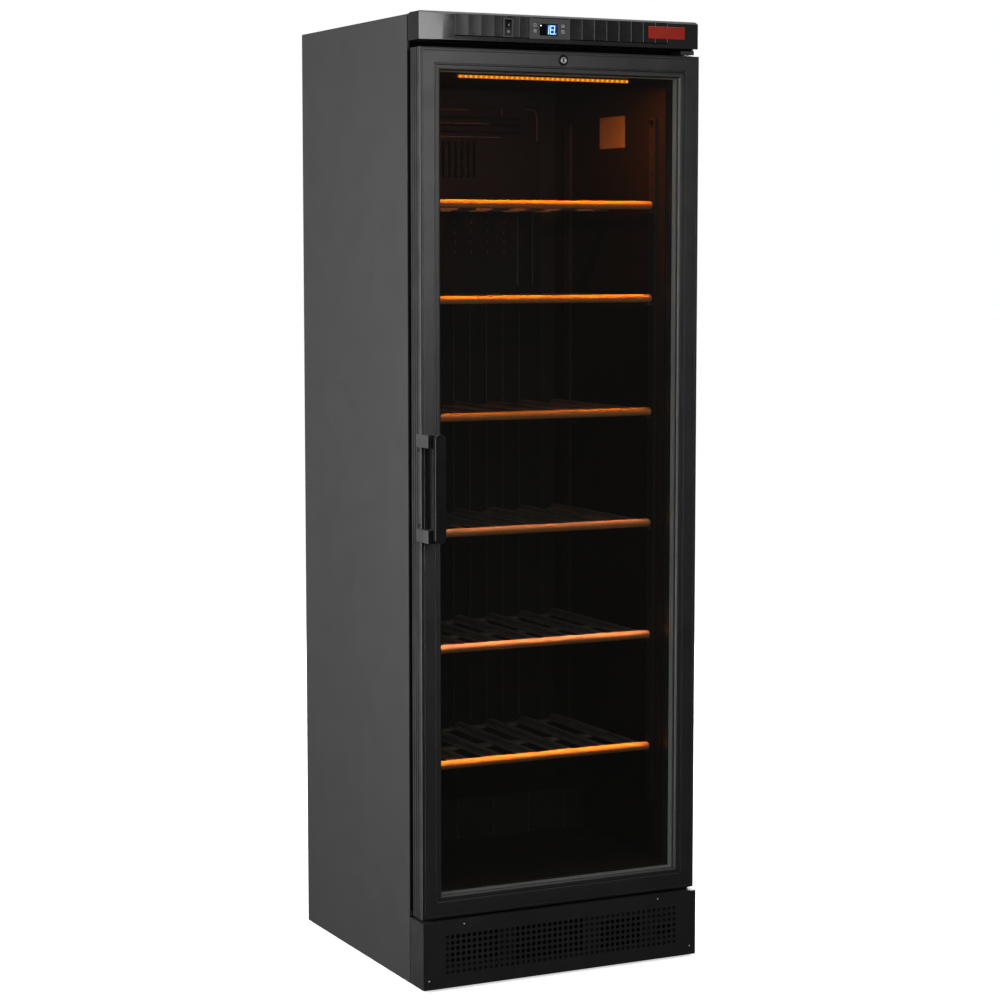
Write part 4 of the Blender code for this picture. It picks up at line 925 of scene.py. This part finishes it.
def uprights():
    """Ladder strips pierced by pairs of slots, with the lugs that carry the racks."""
    for place in ("front", "rear"):
        for side_name, side in (("left", -1), ("right", 1)):
            name = f"upright_{place}_{side_name}"
            low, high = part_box(name)
            wall_side = high.x if side > 0 else low.x
            inner_side = wall_side - side * UPRIGHT_DEPTH
            middle = (low.y + high.y) / 2
            strip = box(bmesh.new(), sorted((wall_side, inner_side)), (low.y, high.y), (low.z, high.z))
            tools = bmesh.new()
            z = low.z + 0.020
            while z < high.z - 0.015:
                for y in around(middle, 0.0045):
                    box(tools, sorted((inner_side - side * 0.001, inner_side + side * 0.003)),
                        around(y, SLOT_HALF_WIDTH), (z, z + SLOT_HEIGHT))
                z += SLOT_PITCH
            strip = carved(strip, tools)
            for rack in RACKS:
                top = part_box(rack)[0].z + (-0.0003 if place == "front" else 0.0014)
                box(strip, sorted((inner_side + side * 0.001, side * 0.236)),
                    around(middle, 0.008), (top - 0.006, top))
            piece(name + "_strip", strip, UPRIGHT_PAINT, [name], bevel=0.0003)


def lamp_strip():
    """Amber diffuser, lit from inside by a row of chips, in a black channel."""
    low, high = LAMP_LOW, LAMP_HIGH
    front = low.y + 0.0012
    channel = ((front, high.z), (front, high.z - 0.0020), (low.y + 0.0075, high.z - 0.0020),
               (low.y + 0.0085, low.z + 0.0010), (high.y, low.z + 0.0030), (high.y, high.z))
    piece("lamp_channel", prism(bmesh.new(), channel, 0, low.x, high.x), LINER,
          ["led_strip"], bevel=0.0004)
    ends = 0.0085
    glow_low, glow_high = low.z + 0.0004, high.z - 0.0022
    half = (glow_high - glow_low) / 2
    nose = low.y + 0.0011
    outline = arc((nose + half, glow_low + half), (half, half), 90, 270, 8)
    outline += [(low.y + 0.0072, glow_low), (low.y + 0.0072, glow_high)]
    piece("lamp_diffuser", prism(bmesh.new(), outline, 0, low.x + ends, high.x - ends), LAMP,
          bevel=0.0008, segments=3)
    chips = bmesh.new()
    pitch = (high.x - low.x - 2 * ends - 0.006) / (LED_COUNT - 1)
    shape = Matrix.Rotation(math.radians(25), 4, "Y") @ Matrix.Diagonal((1.0, 0.5, 1.3, 1.0))
    for i in range(LED_COUNT):
        centre = (low.x + ends + 0.003 + pitch * i, nose + 0.0001, glow_low + half)
        bmesh.ops.create_icosphere(chips, subdivisions=2, radius=0.0019,
                                   matrix=Matrix.Translation(centre) @ shape)
    piece("lamp_chips", chips, LAMP_DOT, angle=60)


def liner_detail():
    """Shallow swages on the side walls, clips over the front uprights, and a blank paper label."""
    label_low, label_high = 1.6075, 1.6705
    wall = 0.2538
    top = wall - 0.0005
    foot, crown = 0.007, 0.003
    clear = foot + 0.001
    ribs = bmesh.new()
    z = 0.33
    while z < 1.70:
        if z < label_low - clear or z > label_high + clear:
            for side in (-1, 1):
                outline = ((side * wall, z - foot), (side * top, z - crown), (side * top, z + crown),
                           (side * wall, z + foot))
                prism(ribs, outline, 1, -0.160, 0.162)
        z += SWAGE_PITCH
    piece("liner_swages", ribs, LINER, angle=60)
    clips = bmesh.new()
    for side_name, side in (("left", -1), ("right", 1)):
        low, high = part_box("upright_front_" + side_name)
        middle = (low.y + high.y) / 2
        inner = (high.x if side > 0 else low.x) - side * UPRIGHT_DEPTH
        z = high.z - 0.008
        for reach, radius, segments in ((0.0060, 0.0052, 32), (0.0080, 0.0024, 24)):
            rod(clips, (inner, middle, z), (inner - side * reach, middle, z), radius, segments)
    piece("upright_clips", clips, COVER_BLACK, bevel=0.0008)
    label = box(bmesh.new(), (wall - 0.0004, wall), (-0.057, 0.049), (label_low, label_high))
    piece("blank_label", label, LABEL, bevel=0.0001)


def back_detail():
    """Ribs, louvres and a sensor tube on the back cover, and ribs on the step below it."""
    front = COVER_LOW.y
    seat = front + 0.0005
    bold = front - 0.0016
    fine = front - 0.0012
    marks = bmesh.new()
    for x, z0, z1 in ((0.142, 1.330, 1.482), (0.177, 1.330, 1.482), (0.105, 1.676, 1.696)):
        box(marks, around(x, 0.0011), (bold, seat), (z0, z1))
    for i in range(8):
        x = -0.120 + 0.038 * i
        box(marks, around(x, 0.0008), (fine, seat), (0.42, 1.29))
    for row in range(5):
        for column in range(8):
            x = -0.152 + 0.0375 * column
            z = 1.395 + 0.0205 * row
            box(marks, around(x, 0.0010), (fine, seat), (z, z + 0.007))
    for z, right in ((1.633, 0.104), (1.6605, 0.075), (1.6878, 0.030)):
        box(marks, (-0.150, right), (bold, seat), (z, z + 0.0022))
    # The ribs and louvres are lighter grey than the near-black cover: painted glints.
    piece("cover_ribs", marks, RIB_GLINT_GREY, bevel=0.0003)
    y = front - 0.0018
    tube = [(x, y, z) for x, z in ((0.158, 1.693), (0.170, 1.693), (0.184, 1.690), (0.1865, 1.676),
                                   (0.1865, 1.650), (0.1865, 1.628))]
    pipe("sensor_tube", tube, 0.0018, RIB_GLINT_GREY)
    ribs = bmesh.new()
    step_front = 0.1100
    bottom, top = 0.190, 0.268
    for i in range(6):
        x = -0.205 + 0.082 * i
        rod(ribs, (x, step_front - 0.0004, bottom), (x, step_front - 0.0004, top), 0.0012, 12)
        for z in (bottom + 0.004, top - 0.004):
            rod(ribs, (x, step_front - 0.0022, z), (x, step_front, z), 0.0026, 16)
    # The step's ribs and the dots at their ends are lighter grey than the step: painted glints.
    piece("step_ribs", ribs, RIB_GLINT_GREY, bevel=0.0003)


# --- Back and underside -----------------------------------
def condenser():
    """Painted wires on both sides of a serpentine tube, held off the panel by two rails."""
    low, high = COIL_LOW, COIL_HIGH
    y = (low.y + high.y) / 2
    tube = serpentine(0.245, low.z + 0.004, high.z - 0.004, 15, y)
    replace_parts(pipe("condenser_tube", tube, TUBE_RADIUS, COIL_BLACK, "POLY"), "condenser")
    wires = bmesh.new()
    half_width = 0.21
    for i in range(int(2 * half_width / WIRE_PITCH) + 1):
        x = WIRE_PITCH * i - half_width
        for side in (-1, 1):
            wire_y = y + side * (TUBE_RADIUS + WIRE_RADIUS * 0.4)
            rod(wires, (x, wire_y, low.z), (x, wire_y, high.z), WIRE_RADIUS, 6)
    piece("condenser_wires", wires, COIL_BLACK, angle=70)
    rails = bmesh.new()
    back = PANEL_HIGH.y
    half = 0.006
    for x in (-0.225, 0.225):
        box(rails, around(x, half), (back + 0.0002, back + 0.0014), (0.34, 1.66))
        for z in (0.40, 0.80, 1.20, 1.60):
            box(rails, (x - half + 0.001, x + half - 0.001), (back + 0.0010, y - TUBE_RADIUS - 0.0002),
                (z, z + 0.0015))
    piece("condenser_rails", rails, COIL_BLACK, bevel=0.0003)


def serpentine(half_width, low, high, passes, y):
    """Points of a tube that runs to and fro, with half-round bends."""
    pitch = (high - low) / (passes - 1)
    bend = pitch / 2
    points = [(-half_width, y, low)]
    for i in range(passes - 1):
        side = 1 if i % 2 == 0 else -1
        middle = low + pitch * i + bend
        for step in range(13):
            angle = math.radians(-90 + 15 * step)
            x = side * (half_width - bend + bend * math.cos(angle))
            points.append((x, y, middle + bend * math.sin(angle)))
    points.append(((1 if passes % 2 else -1) * half_width, y, high))
    return points


def pipe(name, points, radius, material, kind="NURBS"):
    """A bent tube through a few points, with smooth corners unless the kind is POLY."""
    curve = bpy.data.curves.new(name, "CURVE")
    curve.dimensions = "3D"
    curve.bevel_depth = radius
    curve.bevel_resolution = 3
    curve.resolution_u = 8
    curve.use_fill_caps = True
    spline = curve.splines.new(kind)
    spline.points.add(len(points) - 1)
    for spline_point, point in zip(spline.points, points):
        spline_point.co = (*point, 1)
    if kind == "NURBS":
        spline.order_u = 4
        spline.use_endpoint_u = True
    curve.materials.append(material)
    obj = placed(name, curve)
    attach(obj, "cabinet")
    return obj


def compressor():
    """Welded pot on rubber feet with its terminal box and pipes."""
    middle = (POT_LOW.x + POT_HIGH.x) / 2
    radius = 0.078
    low, seam, high, dome = 0.075, 0.118, 0.150, 0.045
    lip = radius + 0.0035
    profile = [(0.0, low - dome)] + arc((0, low), (radius, dome), -80, 0, 10)
    profile += [(radius, seam - 0.003), (lip, seam - 0.0018), (lip, seam + 0.0018), (radius, seam + 0.003)]
    profile += arc((0, high), (radius, dome), 0, 80, 10) + [(0.0, high + dome)]
    pot = turned(bmesh.new(), profile, (middle, 0.190, 0), "Z", 64)
    plate = (0.034, 0.038)
    box(pot, around(middle, 0.100), (0.130, 0.250), plate)
    piece("compressor_pot", pot, POT_BLACK, ["compressor"], bevel=0.0006, angle=50)
    feet = bmesh.new()
    for x in around(middle, 0.088):
        for y in (0.142, 0.238):
            rod(feet, (x, y, 0.0114), (x, y, plate[0]), 0.009)
            rod(feet, (x, y, plate[1]), (x, y, 0.0415), 0.006)
    piece("compressor_grommets", feet, RUBBER, bevel=0.0012)
    cap = box(bmesh.new(), (middle - 0.118, middle - 0.070), (0.170, 0.214), (0.080, 0.132))
    piece("terminal_box", cap, SWITCH_RIM, bevel=0.004, segments=4)
    suction = ((0.158, 0.200, 0.120), (0.175, 0.205, 0.120), (0.195, 0.215, 0.125), (0.205, 0.235, 0.150),
               (0.210, 0.262, 0.190), (0.210, 0.280, 0.215), (0.210, 0.2975, 0.232))
    pipe("suction_line", suction, 0.0040, COPPER)
    discharge = ((0.155, 0.165, 0.100), (0.185, 0.165, 0.098), (0.225, 0.175, 0.100), (0.244, 0.215, 0.130),
                 (0.246, 0.270, 0.200), (0.246, 0.305, 0.262), (0.246, 0.3165, 0.2990))
    pipe("discharge_line", discharge, TUBE_RADIUS, COPPER)


def running_gear():
    """Screw feet with a ribbed grip, and rollers with a rounded tread."""
    for side in ("left", "right"):
        low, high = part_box("foot_front_" + side)
        middle = (low + high) / 2
        radius = high.x - middle.x
        profile = [(0.0, low.z), (radius - 0.002, low.z), (radius, low.z + 0.002), (radius, 0.0055),
                   (radius - 0.0015, 0.0070), (0.0072, 0.0070), (0.0065, 0.0080), (0.0050, 0.0080),
                   (0.0050, high.z - 0.001), (0.0042, high.z), (0.0, high.z)]
        foot = turned(bmesh.new(), profile, (middle.x, middle.y, 0), "Z", 48)
        notches = bmesh.new()
        for i in range(12):
            angle = math.tau * i / 12
            x = middle.x + radius * math.cos(angle)
            y = middle.y + radius * math.sin(angle)
            rod(notches, (x, y, 0.0025), (x, y, 0.009), 0.0012, 8)
        piece(f"foot_{side}_pad", carved(foot, notches), WHEEL_BLACK,
              ["foot_front_" + side], angle=40, body="foot_" + side)
        low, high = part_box("roller_rear_" + side)
        middle = (low + high) / 2
        half = (high.x - low.x) / 2
        radius = (high.z - low.z) / 2
        tread = 0.0015
        dish = half - 0.0015
        flank = [(0.0043, half), (0.0095, half), (0.0100, dish), (0.0120, dish), (0.0125, half),
                 (radius - tread, half)]
        profile = [(r, -x) for r, x in flank] + arc((radius - tread, 0), (tread, half), -90, 90, 8)[1:-1]
        profile += reversed(flank)
        wheel = turned(bmesh.new(), profile, middle, "X", 48)
        piece(f"roller_{side}_wheel", wheel, WHEEL_BLACK,
              ["roller_rear_" + side], angle=40, body="roller_" + side)


def rear_fasteners():
    """Screws round the rear panel."""
    screws = bmesh.new()
    for z in (0.26, 0.62, 0.98, 1.34, 1.70, 1.822):
        for x in (-0.285, 0.285):
            profile = [(0.0, 0.0), (0.0035, 0.0), (0.0032, 0.0010), (0.0018, 0.0018), (0.0, 0.0020)]
            turned(screws, profile, (x, PANEL_HIGH.y, z), "Y", 24)
    piece("rear_screws", screws, SCREW_BRIGHT, angle=50)


# --- Stage ------------------------------------------------
def area_light(name, place, target, size, power, colour=(1.0, 1.0, 1.0)):
    data = bpy.data.lights.new(name, "AREA")
    data.shape = "RECTANGLE"
    data.size, data.size_y = size
    data.energy = power
    data.color = colour
    light = placed(name, data)
    light.location = place
    aim = Vector(target) - Vector(place)
    light.rotation_euler = aim.to_track_quat("-Z", "Y").to_euler()
    light.visible_camera = False
    return light


def shine_on(light, receivers):
    """Keeps a lamp's light on the pieces named: the strip's lens throws it back into the cavity."""
    reach = bpy.data.collections.new(light.name + "_reach")
    for obj in receivers:
        reach.objects.link(obj)
    light.light_linking.receiver_collection = reach


def studio():
    """A wide softbox high in front, one at the left, weak fills behind, and the amber cavity lamps."""
    front = (-0.05, -3.20, 1.96)
    area_light("front_softbox", front, (front[0], 0.0, front[2]), (2.1, 1.60), FRONT_POWER)
    area_light("side_softbox", (-3.30, 0.55, 1.05), (0.0, 0.55, 1.05), (3.2, 3.2), SIDE_POWER)
    area_light("right_fill", (3.30, 0.80, 1.60), (0.0, 0.50, 0.90), (2.0, 2.4), RIGHT_POWER)
    area_light("rear_fill", (1.70, 3.20, 1.80), (0.0, 0.32, 0.90), (2.4, 2.4), REAR_POWER)
    lamp = area_light("cavity_lamp", (0, -0.190, 1.7235), (0, -0.150, 1.0), (0.36, 0.006), CAVITY_POWER,
                      AMBER)
    shine_on(lamp, [obj for obj in bpy.data.objects if obj.name.startswith(CAVITY_NAMES)])
    rise = 0.070
    for name, (power, colour) in zip(RACKS, RAIL_GLOWS):
        low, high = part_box(name)
        rail = Vector((0, low.y + 0.0045, high.z))
        glow = area_light(name + "_glow", rail + Vector((0, 0, rise)), rail, (0.46, 0.012), power, colour)
        glow.data.spread = math.radians(50)
        shine_on(glow, [bpy.data.objects[name + "_rail"]])
    sun = bpy.data.lights.new("overhead", "SUN")
    sun.energy = 1.5
    sun.angle = math.radians(62)
    placed("overhead", sun).location = (0, 0, 4)


def world():
    """A trace of grey light all round, and a white backdrop behind the object."""
    made = bpy.data.worlds.new("studio")
    bpy.context.scene.world = made
    made.use_nodes = True
    nodes = made.node_tree.nodes
    links = made.node_tree.links
    ambient = preset(nodes["Background"], Color=WHITE, Strength=AMBIENT)
    backdrop = preset(nodes.new("ShaderNodeBackground"), Color=WHITE, Strength=1.0)
    path = nodes.new("ShaderNodeLightPath")
    mix = nodes.new("ShaderNodeMixShader")
    links.new(path.outputs["Is Camera Ray"], mix.inputs["Fac"])
    links.new(ambient.outputs["Background"], mix.inputs[1])
    links.new(backdrop.outputs["Background"], mix.inputs[2])
    links.new(mix.outputs["Shader"], nodes["World Output"].inputs["Surface"])
    bpy.context.scene.view_settings.view_transform = "Standard"


def floor():
    """Pale seamless floor that takes a soft shadow but throws no light back at the object."""
    finish = Finish("studio_floor", 0.85, specular=0.0)
    finish.colour_between(finish.noise(0.6, detail=4.0), grey(0.84), grey(0.86))
    preset(finish.shader, Emission_Color=WHITE, Emission_Strength=FLOOR_GLOW)
    bm = bmesh.new()
    reach = 40.0
    bmesh.ops.create_grid(bm, x_segments=8, y_segments=8, size=reach)
    obj = loose_object("studio_floor", bm)
    obj.data.materials.append(finish.material)
    obj.visible_diffuse = False
    obj.visible_glossy = False


def camera():
    data = bpy.data.cameras.new("camera")
    data.lens = 92.0
    data.sensor_width = 36.0
    data.clip_end = 200.0
    obj = placed("camera", data)
    obj.location = (-2.257, -4.585, 1.4045)
    downward = 5.608
    heading = -26.234
    obj.rotation_euler = (math.radians(90 - downward), 0.0, math.radians(heading))
    bpy.context.scene.camera = obj


def finish_cad_nodes():
    """Finishes of the CAD nodes that stay in view as they are."""
    for material, nodes in (
            (STEEL_PAINT, ["outer_casing"]), (PANEL_GREY, ["rear_panel"]), (FOAM, ["foam_insulation"]),
            (LINER, ["inner_liner"]), (COVER_BLACK, ["evaporator_cover"]), (ZINC, ["base_frame"]),
            (RED, ["badge_plate"]), (HINGE_BLACK, ["hinge_bracket_upper", "hinge_bracket_lower"]),
            (PIN_STEEL, ["hinge_pin_upper", "hinge_pin_lower"]),
            (NYLON, ["hinge_bush_upper", "hinge_bush_lower"]), (COPPER, ["evaporator_coil"]),
            (SWITCH_BLACK, ["fan_motor", "evaporator_fan", "inlet_socket"]), (TRAY_GREY, ["drip_tray"])):
        dress(nodes, material)


camera()
header()
gap_seal()
controller()
light_switch()
plinth()
door()
hinge_gap_shades()
lock()
handle()
racks()
uprights()
lamp_strip()
liner_detail()
back_detail()
condenser()
compressor()
running_gear()
rear_fasteners()
finish_cad_nodes()
studio()
world()
floor()
